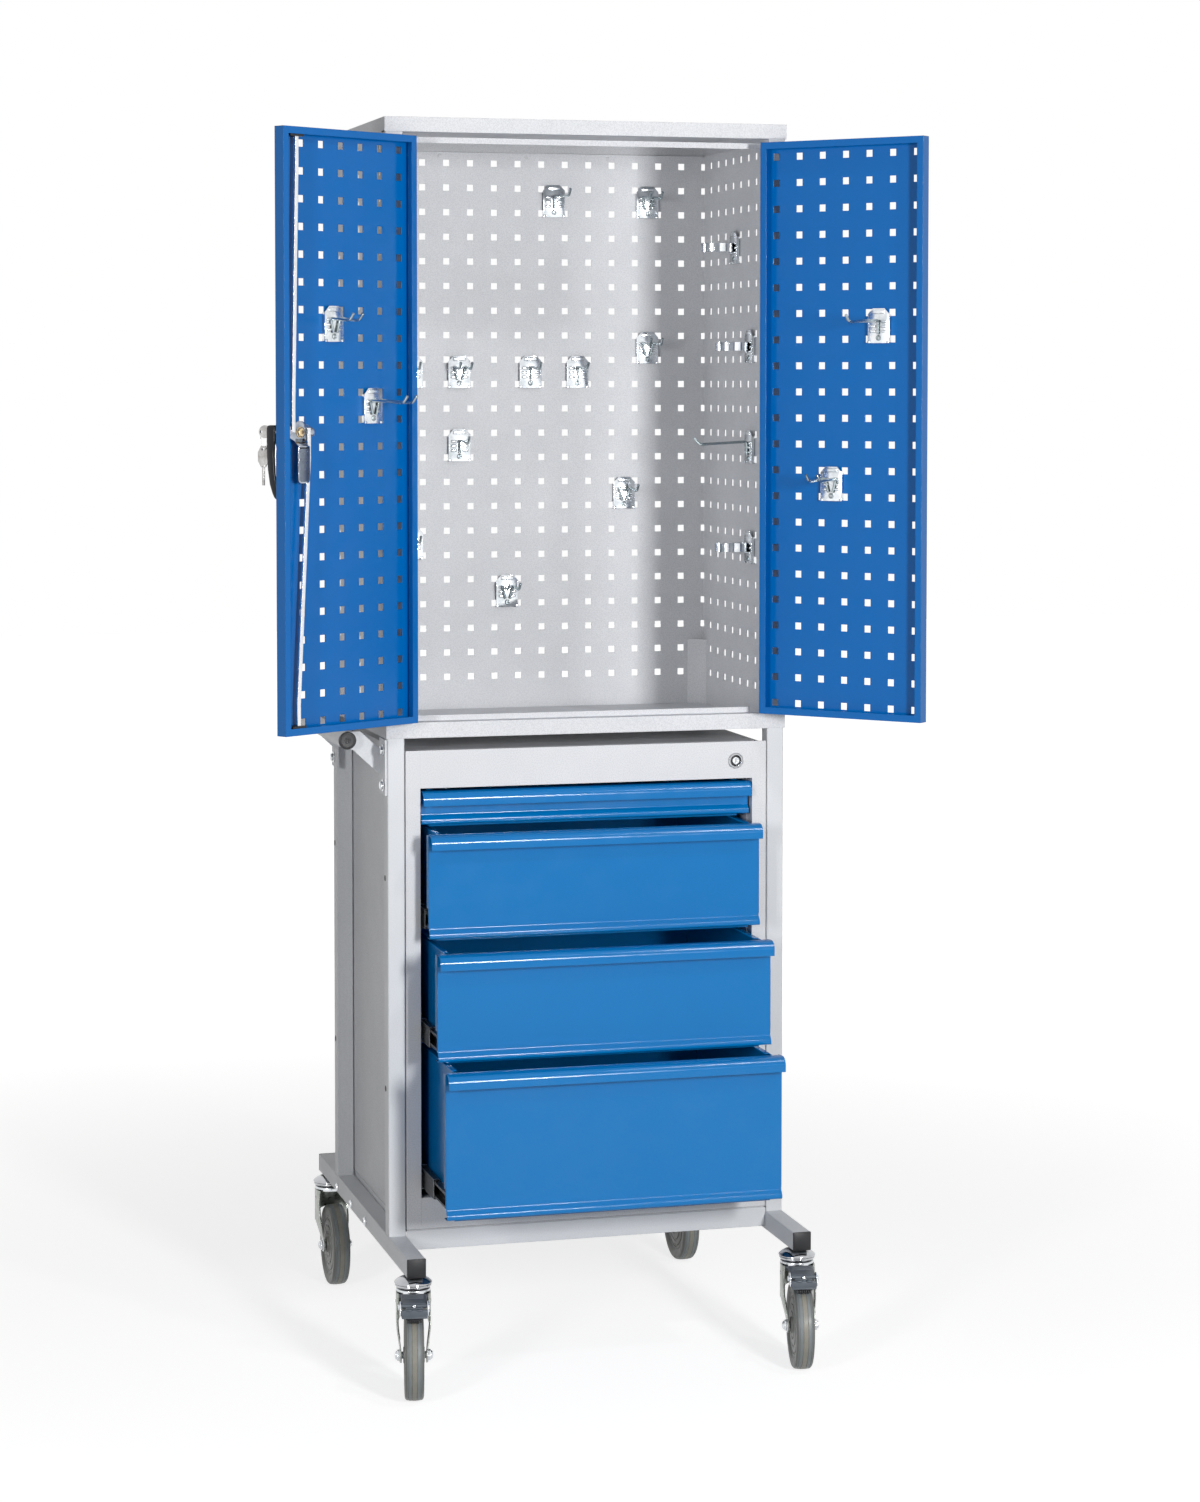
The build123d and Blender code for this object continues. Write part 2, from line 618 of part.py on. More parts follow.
def rod_slot(start, end):
    """Cut for a lock rod where it crosses a sheet with the left door shut."""
    x = ROD_END_U - HINGE_AXIS_X
    y = HINGE_AXIS_Y + ROD_V + ROD_THICKNESS / 2
    reach = ROD_WIDTH / 2 + 2
    thick = ROD_THICKNESS / 2 + 1
    return block(x - reach, x + reach, y - thick, y + thick, start, end)


def floor_tray():
    """Floor with a folded rim; the front rim returns inwards as a ledge with a sill that the doors shut on."""
    half = CABINET_HALF + TRAY_OVERHANG_X
    front = FRONT - TRAY_OVERHANG_Y
    rim = DECK + TRAY_RIM
    floor = block(-half, half, front, BACK, DECK, DECK + SHEET)
    deck = DECK + SHEET
    inside = front + TRAY_LEDGE
    ledge = folded([(inside, deck), (inside, rim), (front, rim), (front, deck)], SHEET)
    ledge = prism(ledge, "X", -half + SHEET, half - SHEET)
    slot = rod_slot(rim - 2 * SHEET, rim + SHEET)
    sill_half = CABINET_HALF - SILL_END
    sill = block(-sill_half, sill_half, inside - SHEET, inside, rim, rim + SILL_HEIGHT)
    end = block(half - SHEET, half, front, BACK, deck, rim)
    rear = block(-half + SHEET, half - SHEET, BACK - SHEET, BACK, deck, rim)
    return [floor, (ledge - slot).solid(), sill, rear] + both_sides(end)


def side_wall():
    """Right side of the locker: a flat wall and the folded stile at its front edge."""
    low = DECK + TRAY_RIM
    high = CABINET_TOP - TOP_RIM
    wall = block(WALL_X - SHEET, WALL_X, FRONT + STILE_DEPTH, BACK_FACE, DECK + SHEET, high)
    inside = FRONT + STILE_DEPTH
    path = [(STILE_INNER, inside), (STILE_INNER, FRONT), (CABINET_HALF, FRONT), (CABINET_HALF, inside),
            (WALL_X, inside)]
    return [wall, prism(folded(path, SHEET), "Z", low, high)]


def back_wall():
    return block(-WALL_X, WALL_X, BACK_FACE, BACK_FACE + SHEET, DECK + SHEET, CABINET_TOP - TOP_RIM)


def corner_cover():
    """Slanted strip across the foot of the rear right corner."""
    wall = WALL_X - SHEET
    outline = [(wall - CORNER_COVER_BACK, BACK_FACE), (wall - CORNER_COVER_BACK - SHEET, BACK_FACE),
               (wall, BACK_FACE - CORNER_COVER_SIDE - SHEET), (wall, BACK_FACE - CORNER_COVER_SIDE)]
    return prism(outline, "Z", DECK + SHEET, DECK + SHEET + CORNER_COVER_HEIGHT)


# ---- Doors, drawn shut with the hinge axis at the origin: u towards the free edge, v inwards ----


def rectangle_wire(u0, u1, z0, z1, v):
    return Wire.make_polygon([(u0, v, z0), (u1, v, z0), (u1, v, z1), (u0, v, z1)], close=True)


def door_skin(width, margin, bores):
    """Flat skin with square holes on the grid and any round bores."""
    v = HINGE_AXIS_PROUD
    edge = HINGE_EDGE
    outline = rectangle_wire(edge, edge + width, DOOR_BOTTOM, DOOR_TOP, v)
    columns = 1 + int((width - 2 * margin) / PITCH)
    rows = 1 + int((DOOR_TOP - DOOR_BOTTOM - DOOR_TOP_MARGIN - DOOR_BOTTOM_MARGIN) / PITCH)
    us = [edge + margin + PITCH * i for i in range(columns)]
    zs = [DOOR_TOP - DOOR_TOP_MARGIN - PITCH * i for i in range(rows)]
    half = HOLE / 2
    holes = [rectangle_wire(u - half, u + half, z - half, z + half, v) for u in us for z in zs]
    rounds = [Wire.make_circle(radius, Plane((u, v, z), z_dir=(0, 1, 0))) for u, z, radius in bores]
    return Solid.extrude(Face(outline, holes + rounds), Vector(0, SHEET, 0))


def door_rim(width):
    """Four folded sides of the pan, mitred at the corners: each a wall and an inward lip."""
    u0 = HINGE_EDGE
    u1 = u0 + width
    outer = [(u0, DOOR_BOTTOM), (u1, DOOR_BOTTOM), (u1, DOOR_TOP), (u0, DOOR_TOP)]
    inward = [(1, 1), (-1, 1), (-1, -1), (1, -1)]
    deep = HINGE_AXIS_PROUD + DOOR_DEPTH
    sides = []
    for i in range(4):
        j = (i + 1) % 4
        wall, lip = ([outer[i], outer[j], (outer[j][0] + inward[j][0] * d, outer[j][1] + inward[j][1] * d),
                      (outer[i][0] + inward[i][0] * d, outer[i][1] + inward[i][1] * d)]
                     for d in (SHEET, DOOR_LIP))
        sides.append((prism(wall, "Y", SKIN_IN, deep) + prism(lip, "Y", deep - SHEET, deep)).solid())
    return sides


def slotted(sides):
    """The rim of the left door with its top and bottom walls cut for the lock rods."""
    v = ROD_V + ROD_THICKNESS / 2
    reach = ROD_WIDTH / 2 + 2
    thick = ROD_THICKNESS / 2 + 0.6
    cuts = [block(ROD_END_U - reach, ROD_END_U + reach, v - thick, v + thick, z - 2 * SHEET, z + 2 * SHEET)
            for z in (DOOR_BOTTOM, DOOR_TOP)]
    return [(sides[0] - cuts[0]).solid(), sides[1], (sides[2] - cuts[1]).solid(), sides[3]]


def hinge_half(outline, z, way):
    """Half of a lift-off hinge: a knuckle on the axis and its leaf, above or below the parting."""
    start, end = sorted((z + way * FIT / 2, z + way * HINGE_LENGTH / 2))
    knuckle = cylinder(KNUCKLE_RADIUS, (0, 0, start), (0, 0, end))
    return (knuckle + prism(outline, "Z", start, end)).solid()


def door_leaf(z):
    """Upper half, which lifts off with the door: its leaf lies on the door's edge."""
    start = HINGE_EDGE - LEAF
    return hinge_half([(start, 0), (HINGE_EDGE, 0), (HINGE_EDGE, LEAF_DEPTH), (start, LEAF_DEPTH)], z, 1)


def frame_leaf(z):
    """Lower half: its leaf lies on the inner side of the stile."""
    reach = STILE_INNER - HINGE_AXIS_X
    bend = KNUCKLE_RADIUS + 1.5
    return hinge_half(folded([(-reach, bend + LEAF_DEPTH), (-reach, bend), (-2, 2.6)], LEAF), z, -1)


# ---- Lock of the left door ----


def across(shape):
    """Lays a shape turned about Z along v, through the lock's centre."""
    return shape.moved(Location((LOCK_U, 0, LOCK_Z), (-90, 0, 0)))


def rosette():
    v = HINGE_AXIS_PROUD
    top = v - ROSETTE
    bore = LOCK_SHAFT_RADIUS + FIT
    return across(turned([(bore, top), (ROSETTE_RADIUS - 2, top), (ROSETTE_RADIUS, v), (bore, v)]))


def lever():
    """Grip that hangs from the lock's head, with the shaft that goes through the door."""
    back = HINGE_AXIS_PROUD - LEVER_STAND_OFF
    face = back - LEVER_THICKNESS
    top = LOCK_Z + LEVER_HEAD
    low = top - LEVER_LENGTH
    head = 2.3 * LEVER_HEAD
    tenth = LEVER_LENGTH / 10
    outline = [(back, top), (face + 3, top), (face, top - 4), (face, top - head), (face + 2, low + 4 * tenth),
               (face + 6, low + 2 * tenth), (back - 4, low + 6), (back + 2, low), (back + 6, low + 4),
               (back + 4, low + 1.5 * tenth), (back - 1, low + 3.5 * tenth), (back - 3, low + 6.4 * tenth),
               (back, top - head)]
    grip = prism(outline, "X", LOCK_U - LEVER_WIDTH / 2, LOCK_U + LEVER_WIDTH / 2)
    base = HINGE_AXIS_PROUD - ROSETTE - FIT
    neck = cylinder(LEVER_HEAD, (LOCK_U, back, LOCK_Z), (LOCK_U, base, LOCK_Z))
    shaft = cylinder(LOCK_SHAFT_RADIUS, (LOCK_U, base, LOCK_Z), (LOCK_U, CAM_V, LOCK_Z))
    deep = face + BARREL_LENGTH + FIT
    bore = cylinder(BARREL_RADIUS + FIT, (LOCK_U, face - 1, LOCK_Z), (LOCK_U, deep, LOCK_Z))
    return (grip + neck + shaft - bore).solid()


def key():
    """Lock barrel with its key in place."""
    face = HINGE_AXIS_PROUD - LEVER_STAND_OFF - LEVER_THICKNESS
    barrel = cylinder(BARREL_RADIUS, (LOCK_U, face, LOCK_Z), (LOCK_U, face + BARREL_LENGTH, LOCK_Z))
    centre = face - KEY_REACH
    blade = block(LOCK_U - KEY_SHEET / 2, LOCK_U + KEY_SHEET / 2, centre, face, LOCK_Z - 3, LOCK_Z + 3)
    side = Plane((LOCK_U - KEY_SHEET / 2, centre, LOCK_Z), x_dir=(0, 1, 0), z_dir=(1, 0, 0))
    bow = Ellipse(KEY_BOW_LENGTH / 2, KEY_BOW_HEIGHT / 2)
    return (barrel + blade + extrude(side * bow, KEY_SHEET)).solid()


def lock_cam():
    """Six-cornered plate that drives the two rods, with a tongue cranked forwards to clear the door's lip."""
    w = CAM_WIDTH / 2
    h = CAM_HEIGHT / 2
    corners = ((-w, 3), (0, h), (w, 3), (w, -3), (0, -h), (-w, -3))
    plate = prism([(LOCK_U + u, LOCK_Z + z) for u, z in corners], "Y", CAM_V, CAM_V + CAM_SHEET)
    level = HINGE_AXIS_PROUD + DOOR_DEPTH + 2 * FIT
    low = LOCK_Z - TONGUE_REACH
    knee = LOCK_Z - h - TONGUE_CRANK
    crank = [(CAM_V, LOCK_Z - h / 2), (CAM_V, LOCK_Z - h + 3), (level, knee), (level, knee - CAM_SHEET)]
    crank = folded(crank, CAM_SHEET)
    neck = prism(crank, "X", LOCK_U - TONGUE_NECK / 2, LOCK_U + TONGUE_NECK / 2)
    half = TONGUE_WIDTH / 2
    blade = [(-half, knee), (-half, low + 5), (5 - half, low), (half - 5, low), (half, low + 5), (half, knee)]
    tongue = prism([(LOCK_U + u, z) for u, z in blade], "Y", level, level + CAM_SHEET)
    return (plate + neck + tongue).solid()


def rod(crank, end, start, way):
    """Flat lock rod from its crank pin at the cam to its end in the guide."""
    straight = end - way * ROD_STRAIGHT
    bend = start + way * ROD_STRAIGHT
    path = [(LOCK_U + crank, start), (LOCK_U + crank, bend), (ROD_END_U, straight), (ROD_END_U, end)]
    outline = folded([(u + ROD_WIDTH / 2, z) for u, z in path][::way], ROD_WIDTH)
    return prism(outline, "Y", ROD_V, ROD_V + ROD_THICKNESS)


def rod_guides():
    """Plastic blocks behind the lips at the two ends of the door."""
    v = ROD_V + ROD_THICKNESS / 2
    reach = ROD_WIDTH / 2 + FIT
    thick = ROD_THICKNESS / 2 + FIT
    pieces = []
    half = GUIDE_WIDTH / 2
    deep = HINGE_AXIS_PROUD + DOOR_DEPTH - SHEET
    for low in (DOOR_BOTTOM + DOOR_LIP - 1, DOOR_TOP - DOOR_LIP + 1 - GUIDE_HEIGHT):
        high = low + GUIDE_HEIGHT
        body = block(ROD_END_U - half, ROD_END_U + half, SKIN_IN, deep, low, high)
        channel_cut = block(ROD_END_U - reach, ROD_END_U + reach, v - thick, v + thick, low, high)
        pieces.append((body - channel_cut).solid())
    return pieces


# ---- Tool holders ----


def holder(prongs):
    """Pressed plate that stands on two side flanges, with one long or two short wire prongs."""
    half = HOLDER_WIDTH / 2
    tall = HOLDER_HEIGHT / 2
    off = HOLDER_STAND_OFF
    plate = prism(folded([(half, 0), (half, off), (-half, off), (-half, 0)], SHEET), "Z", -tall, tall)
    web = [(-half, tall - HOLDER_CHAMFER), (HOLDER_CHAMFER - half, tall), (-half, tall)]
    corner = prism(web, "Y", 0, off)
    pieces = [(plate - corner - corner.mirror(Plane.YZ)).solid()]
    length = LONG_PRONG if prongs == 1 else SHORT_PRONG
    places = [0] if prongs == 1 else [-FORK_SPREAD / 2, FORK_SPREAD / 2]
    tip_y = PRONG_TIP * cos(radians(PRONG_TIP_ANGLE))
    tip_z = PRONG_TIP * sin(radians(PRONG_TIP_ANGLE))
    for x in places:
        start = (x, HOLDER_STAND_OFF, PRONG_RISE)
        bend = (x, HOLDER_STAND_OFF + length, PRONG_RISE)
        end = (x, bend[1] + tip_y, PRONG_RISE + tip_z)
        path = Polyline(start, bend, end)
        section = Plane(origin=start, z_dir=(0, 1, 0)) * RegularPolygon(PRONG_RADIUS, 6)
        prong = sweep(section, path, transition=Transition.RIGHT)
        pieces.append(prong.solid())
    return pieces


def wall_holders():
    """Holders on the back panel and on the right side wall."""
    pieces = []
    for column, row, prongs in BACK_HOLDERS:
        x = BACK_FIRST_COLUMN + PITCH * (column + 0.5)
        z = GRID_TOP - PITCH * (row + 0.5)
        pieces += placed(holder(prongs), Location((x, BACK_FACE, z), (0, 0, 180)))
    for column, row, prongs in SIDE_HOLDERS:
        y = SIDE_FIRST_COLUMN - PITCH * (column + 0.5)
        z = GRID_TOP - PITCH * (row + 0.5)
        pieces += placed(holder(prongs), Location((WALL_X - SHEET, y, z), (0, 0, 90)))
    return pieces


def door_holders(margin, cells):
    pieces = []
    for column, row, prongs in cells:
        u = HINGE_EDGE + margin + PITCH * (column + 0.5)
        z = DOOR_TOP - DOOR_TOP_MARGIN - PITCH * (row + 0.5)
        pieces += placed(holder(prongs), Location((u, SKIN_IN, z)))
    return pieces


# ---- Assembly ----

LEFT_DOOR = Location((-HINGE_AXIS_X, HINGE_AXIS_Y, 0), (0, 0, -LEFT_DOOR_OPEN))
RIGHT_DOOR = Location((HINGE_AXIS_X, HINGE_AXIS_Y, 0), (0, 0, RIGHT_DOOR_OPEN))
LEFT_FRAME = Location((-HINGE_AXIS_X, HINGE_AXIS_Y, 0))
RIGHT_FRAME = Location((HINGE_AXIS_X, HINGE_AXIS_Y, 0))


def right_handed(shapes):
    return [shape.mirror(Plane.YZ) for shape in shapes]


def assembly():
    """Every node's solids, by name."""
    nodes = {
        "foot_tubes": frame_feet(),
        "uprights": frame_uprights(),
        "tube_end_caps": end_caps(),
        "cross_rails": cross_rails(),
        "handle_tube": [handle_tube()],
        "handle_brackets": handle_brackets(),
        "drawer_unit_shell": unit_shell(),
        "drawer_unit_face": unit_face(),
        "top_cover": top_cover(),
        "floor_tray": floor_tray(),
        "right_side_wall": side_wall(),
        "left_side_wall": right_handed(side_wall()),
        "back_wall": [back_wall()],
        "corner_cover": [corner_cover()],
        "wall_holders": wall_holders(),
    }
    housing, plug = drawer_lock()
    nodes["drawer_lock_housing"] = [housing]
    nodes["drawer_lock_plug"] = [plug]

    leaves = [frame_leaf(z) for z in HINGE_CENTRES]
    moving = [door_leaf(z) for z in HINGE_CENTRES]
    nodes["frame_hinge_leaves"] = placed(leaves, LEFT_FRAME) + placed(right_handed(leaves), RIGHT_FRAME)

    bore = [(LOCK_U, LOCK_Z, LOCK_SHAFT_RADIUS + FIT)]
    left_skin = door_skin(LEFT_DOOR_WIDTH, LEFT_DOOR_MARGIN, bore)
    right_skin = door_skin(RIGHT_DOOR_WIDTH, RIGHT_DOOR_MARGIN, [])
    nodes["left_door_panel"] = placed([left_skin] + slotted(door_rim(LEFT_DOOR_WIDTH)), LEFT_DOOR)
    nodes["left_door_hinge_leaves"] = placed(moving, LEFT_DOOR)
    nodes["left_door_holders"] = placed(door_holders(LEFT_DOOR_MARGIN, LEFT_DOOR_HOLDERS), LEFT_DOOR)
    nodes["lock_rosette"] = placed([rosette()], LEFT_DOOR)
    nodes["rod_guides"] = placed(rod_guides(), LEFT_DOOR)
    nodes["lock_lever"] = placed([lever()], LEFT_DOOR)
    nodes["lock_cam"] = placed([lock_cam()], LEFT_DOOR)
    nodes["lock_key"] = placed([key()], LEFT_DOOR)
    nodes["upper_lock_rod"] = placed([rod(ROD_CRANK, DOOR_TOP - ROD_SET_BACK, LOCK_Z, 1)], LEFT_DOOR)
    lower = rod(-ROD_CRANK, DOOR_BOTTOM + ROD_SET_BACK, LOCK_Z + ROD_WIDTH, -1)
    nodes["lower_lock_rod"] = placed([lower], LEFT_DOOR)
    nodes["right_door_panel"] = placed(right_handed([right_skin] + door_rim(RIGHT_DOOR_WIDTH)), RIGHT_DOOR)
    nodes["right_door_hinge_leaves"] = placed(right_handed(moving), RIGHT_DOOR)
    right_holders = door_holders(RIGHT_DOOR_MARGIN, RIGHT_DOOR_HOLDERS)
    nodes["right_door_holders"] = placed(right_handed(right_holders), RIGHT_DOOR)

    nodes["slide_outer_members"] = []
    for number, sizes in enumerate(drawer_stack(), 1):
        outer, middle, inner = slide(sizes)
        nodes["slide_outer_members"] += outer
        nodes[f"slide_middle_{number}"] = middle
        nodes[f"slide_inner_{number}"] = inner
        nodes[f"drawer_{number}"] = drawer(sizes)

    nodes["caster_raceways"] = []
    for name, place in CASTERS.items():
        nodes["caster_raceways"].append(raceway().moved(place * Location((0, 0, RACEWAY_FLOOR))))
        nodes[f"fork_{name}"] = placed(fork(), place)
        nodes[f"tyre_{name}"] = placed([tyre()], place)
        nodes[f"hub_{name}"] = placed([hub()], place)
        if name.startswith("front"):
            nodes[f"brake_pedal_{name}"] = placed([pedal()], place)
    return nodes


def main():
    nodes = assembly()
    box = Compound([shape for shapes in nodes.values() for shape in shapes]).bounding_box()
    centre = Location((-(box.min.X + box.max.X) / 2, -(box.min.Y + box.max.Y) / 2, -box.min.Z))
    os.makedirs("parts", exist_ok=True)
    for name, shapes in nodes.items():
        export_step(Compound(placed(shapes, centre)), f"parts/{name}.step")
    print("nodes", len(nodes), "origin moved by", centre.position)


main()
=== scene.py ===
from math import cos, pi, radians, sin, tau

import bmesh
import bpy
from mathutils import Matrix, Vector


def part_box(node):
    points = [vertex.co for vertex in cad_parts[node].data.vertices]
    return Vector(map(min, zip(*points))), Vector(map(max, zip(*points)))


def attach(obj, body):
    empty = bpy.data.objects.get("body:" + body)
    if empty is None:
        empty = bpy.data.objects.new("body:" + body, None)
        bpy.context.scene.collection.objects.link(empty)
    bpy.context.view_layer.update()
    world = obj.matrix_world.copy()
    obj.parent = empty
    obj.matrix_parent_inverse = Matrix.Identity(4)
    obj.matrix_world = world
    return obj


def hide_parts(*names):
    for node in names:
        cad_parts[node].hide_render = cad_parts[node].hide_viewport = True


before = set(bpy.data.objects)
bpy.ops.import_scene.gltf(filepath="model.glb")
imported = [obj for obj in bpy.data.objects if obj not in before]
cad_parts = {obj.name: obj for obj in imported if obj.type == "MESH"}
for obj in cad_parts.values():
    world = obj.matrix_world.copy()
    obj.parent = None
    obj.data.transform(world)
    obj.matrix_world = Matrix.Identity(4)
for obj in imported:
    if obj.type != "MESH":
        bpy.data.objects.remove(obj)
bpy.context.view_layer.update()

# Drawing units: pieces are drawn in millimetres about the middle of the frame and turned into metres at the end
low_corner, high_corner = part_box("uprights")
FRAME_CENTRE = (low_corner + high_corner) / 2
TO_METRES = Matrix.Translation((FRAME_CENTRE.x, FRAME_CENTRE.y, 0)) @ Matrix.Scale(0.001, 4)

# Sizes shared with the solids, in millimetres
SHEET = 1.2
HALF_SHEET = SHEET / 2
PITCH = 38.0
HOLE = 10.0
GRID_TOP = 1765.0
GRID_ROWS = 22
BACK_FIRST_COLUMN = -273.0
BACK_COLUMNS = 16
SIDE_FIRST_COLUMN = 150.2
SIDE_COLUMNS = 10
WALL_X = 297.3
WALL_LOW = 916.6
WALL_HIGH = 1782.0
BACK_FACE = 189.0
FRONT = -205.0
STILE_INNER = 273.9
CABINET_HALF = 299.0
STILE_LOW = 938.0
STILE_DEPTH = 25.0
FOOT_X = 286.0
FOOT_Z = 180.0
FOOT_END = 333.0
HANDLE_X = -352.0
HANDLE_Z = 912.0
HANDLE_END = 180.0
CASTER_Y = 312.0
FRONT_HEADING = 11.0
DRAWER_BOX_LENGTH = 370.0
SLIDE_START = -190.0
SLIDE_RISE = 24.0
# Bottom, height and how far each drawer stands out
DRAWERS = ((789.3, 48.5, 0.0), (631.3, 149.8, 54.0), (464.9, 153.0, 109.0), (250.9, 208.0, 161.0))
DRAWER_SET_BACK = 12.0
DRAWER_HALF = 248.0
DRAWER_BOX_HALF = 235.3
TRAIL = 40.0
WHEEL_RADIUS = 62.5
HALF_WHEEL = 13.5
CROWN_TOP = 148.7
RACEWAY_BOTTOM = 149.0
LOCK_U = 228.0
LOCK_Z = 1357.25
SKIN_OUT = 4.0
SKIN_IN = 5.2
DOOR_TOP = 1774.6
HINGE_EDGE = 4.6
DOOR_TOP_MARGIN = 20.8
DOOR_DEPTH = 17.5
LEFT_DOOR_MARGIN = 20.0
RIGHT_DOOR_MARGIN = 18.0
LEFT_DOOR_OPEN = -146.95
RIGHT_DOOR_OPEN = 132.4


def shift(x, y, z):
    return Matrix.Translation((x, y, z))


def turn(axis, degrees):
    return Matrix.Rotation(radians(degrees), 4, axis)


def quarter(axis, turns=1):
    return Matrix.Rotation(turns * pi / 2, 4, axis)


# Places of the doors and casters
HINGE_X = 266.5
HINGE_Y = -209.0
LEFT_DOOR = shift(-HINGE_X, HINGE_Y, 0) @ turn("Z", LEFT_DOOR_OPEN)
RIGHT_DOOR = shift(HINGE_X, HINGE_Y, 0) @ turn("Z", RIGHT_DOOR_OPEN) @ Matrix.Diagonal((-1, 1, 1, 1))


def caster_place(side, end, heading):
    return shift(side * FOOT_X, end * CASTER_Y, 0) @ turn("Z", -90 - heading)


CASTERS = {
    "front_left": caster_place(-1, -1, FRONT_HEADING),
    "front_right": caster_place(1, -1, FRONT_HEADING),
    "rear_left": caster_place(-1, 1, 0),
    "rear_right": caster_place(1, 1, 0),
}


# ---- Finishes ----

BUMP_DEPTH = 0.0002


def colour(red, green, blue):
    """Linear colour from 8-bit screen values."""
    def linear(value):
        value /= 255
        return value / 12.92 if value <= 0.04045 else ((value + 0.055) / 1.055) ** 2.4
    return linear(red), linear(green), linear(blue), 1.0


class Wiring:
    """The nodes of the world or of a material."""

    def __init__(self, tree):
        self.tree = tree

    def feed(self, socket, value):
        """Links a socket to another one or sets its value."""
        if isinstance(value, bpy.types.NodeSocket):
            self.tree.links.new(value, socket)
        else:
            socket.default_value = value

    def add(self, kind, **values):
        node = self.tree.nodes.new(kind)
        for key, value in values.items():
            if hasattr(node, key):
                setattr(node, key, value)
            else:
                self.feed(node.inputs[key.replace("_", " ")], value)
        return node


class Finish(Wiring):
    """A material with its shader, the object's coordinates and the normal it has so far."""

    def __init__(self, name):
        self.material = bpy.data.materials.new(name)
        self.material.use_nodes = True
        super().__init__(self.material.node_tree)
        self.shader = self.tree.nodes["Principled BSDF"]
        self.place = self.add("ShaderNodeTexCoord").outputs["Object"]
        self.normal = None

    def set(self, **values):
        for key, value in values.items():
            self.feed(self.shader.inputs[key.replace("_", " ")], value)

    def noise(self, scale, detail=2.0, roughness=0.5, stretch=(1, 1, 1)):
        mapping = self.add("ShaderNodeMapping", Scale=stretch, Vector=self.place)
        node = self.add("ShaderNodeTexNoise", Scale=scale, Detail=detail, Roughness=roughness,
                        Vector=mapping.outputs["Vector"])
        return node.outputs["Fac"]

    def ramp(self, factor, *stops):
        node = self.add("ShaderNodeValToRGB", Fac=factor)
        elements = node.color_ramp.elements
        while len(elements) < len(stops):
            elements.new(0.5)
        for element, (position, shade) in zip(elements, stops):
            element.position = position
            element.color = shade
        return node.outputs["Color"]

    def grey_ramp(self, factor, start, low, end, high):
        return self.ramp(factor, (start, (low, low, low, 1)), (end, (high, high, high, 1)))

    def mix(self, factor, first, second):
        node = self.add("ShaderNodeMix", data_type="RGBA", Factor=factor)
        self.feed(node.inputs[6], first)
        self.feed(node.inputs[7], second)
        return node.outputs[2]

    def bend(self, kind, **values):
        """Bends the normal that the shader sees once more."""
        if self.normal:
            values["Normal"] = self.normal
        self.normal = self.add(kind, **values).outputs["Normal"]
        self.set(Normal=self.normal)

    def rounded(self, radius):
        """Rounds the sheet's cut edges and folds."""
        self.bend("ShaderNodeBevel", samples=4, Radius=radius)

    def bump(self, height, strength):
        self.bend("ShaderNodeBump", Strength=strength, Distance=BUMP_DEPTH, Height=height)

    def rough(self, factor, low, high):
        self.set(Roughness=self.grey_ramp(factor, 0.3, low, 0.7, high))


def powder_coat(name, main, deep, roughness, grain, gloss=0.3, radius=0.0009):
    """Baked powder: fine orange peel, a faint drift in shade, and rounded folds."""
    finish = Finish(name)
    finish.set(Specular_IOR_Level=gloss)
    finish.rounded(radius)
    drift = finish.noise(5.0, 3.0, 0.6)
    speck = finish.noise(700.0, 2.0, 0.7)
    shade = finish.mix(finish.grey_ramp(drift, 0.35, 0.0, 0.7, 0.22), main, deep)
    fleck = finish.mix(finish.grey_ramp(speck, 0.42, 0.0, 0.62, grain), shade, deep)
    finish.set(Base_Color=fleck)
    finish.rough(finish.noise(24.0, 4.0, 0.7), roughness - 0.05, roughness + 0.06)
    finish.bump(finish.noise(900.0, 2.0, 0.5), 0.12)
    return finish.material


def bright_metal(name, shade, dull, roughness, tarnish, stretch=(1, 1, 1), bump=0.05):
    """Plated steel with a cloudy passivated film, fine rub marks and painted shade that darkens its corners."""
    finish = Finish(name)
    finish.rounded(0.0006)
    finish.set(Metallic=1.0)
    cloud = finish.noise(45.0, 4.0, 0.65)
    film = finish.mix(finish.grey_ramp(cloud, 0.4, 0.0, 0.68, tarnish), shade, dull)
    # Painted shade: ambient occlusion darkens the colour in corners and crevices
    corner = finish.add("ShaderNodeAmbientOcclusion", samples=6, Distance=0.006)
    painted_corner_shade = tuple(0.18 * value for value in dull[:3]) + (1,)
    finish.set(Base_Color=finish.mix(finish.grey_ramp(corner.outputs["AO"], 0.25, 1.0, 0.85, 0.0), film, painted_corner_shade))
    finish.rough(finish.noise(160.0, 4.0, 0.7, stretch), roughness * 0.75, roughness * 1.3)
    finish.bump(finish.noise(600.0, 3.0, 0.6, stretch), bump)
    return finish.material


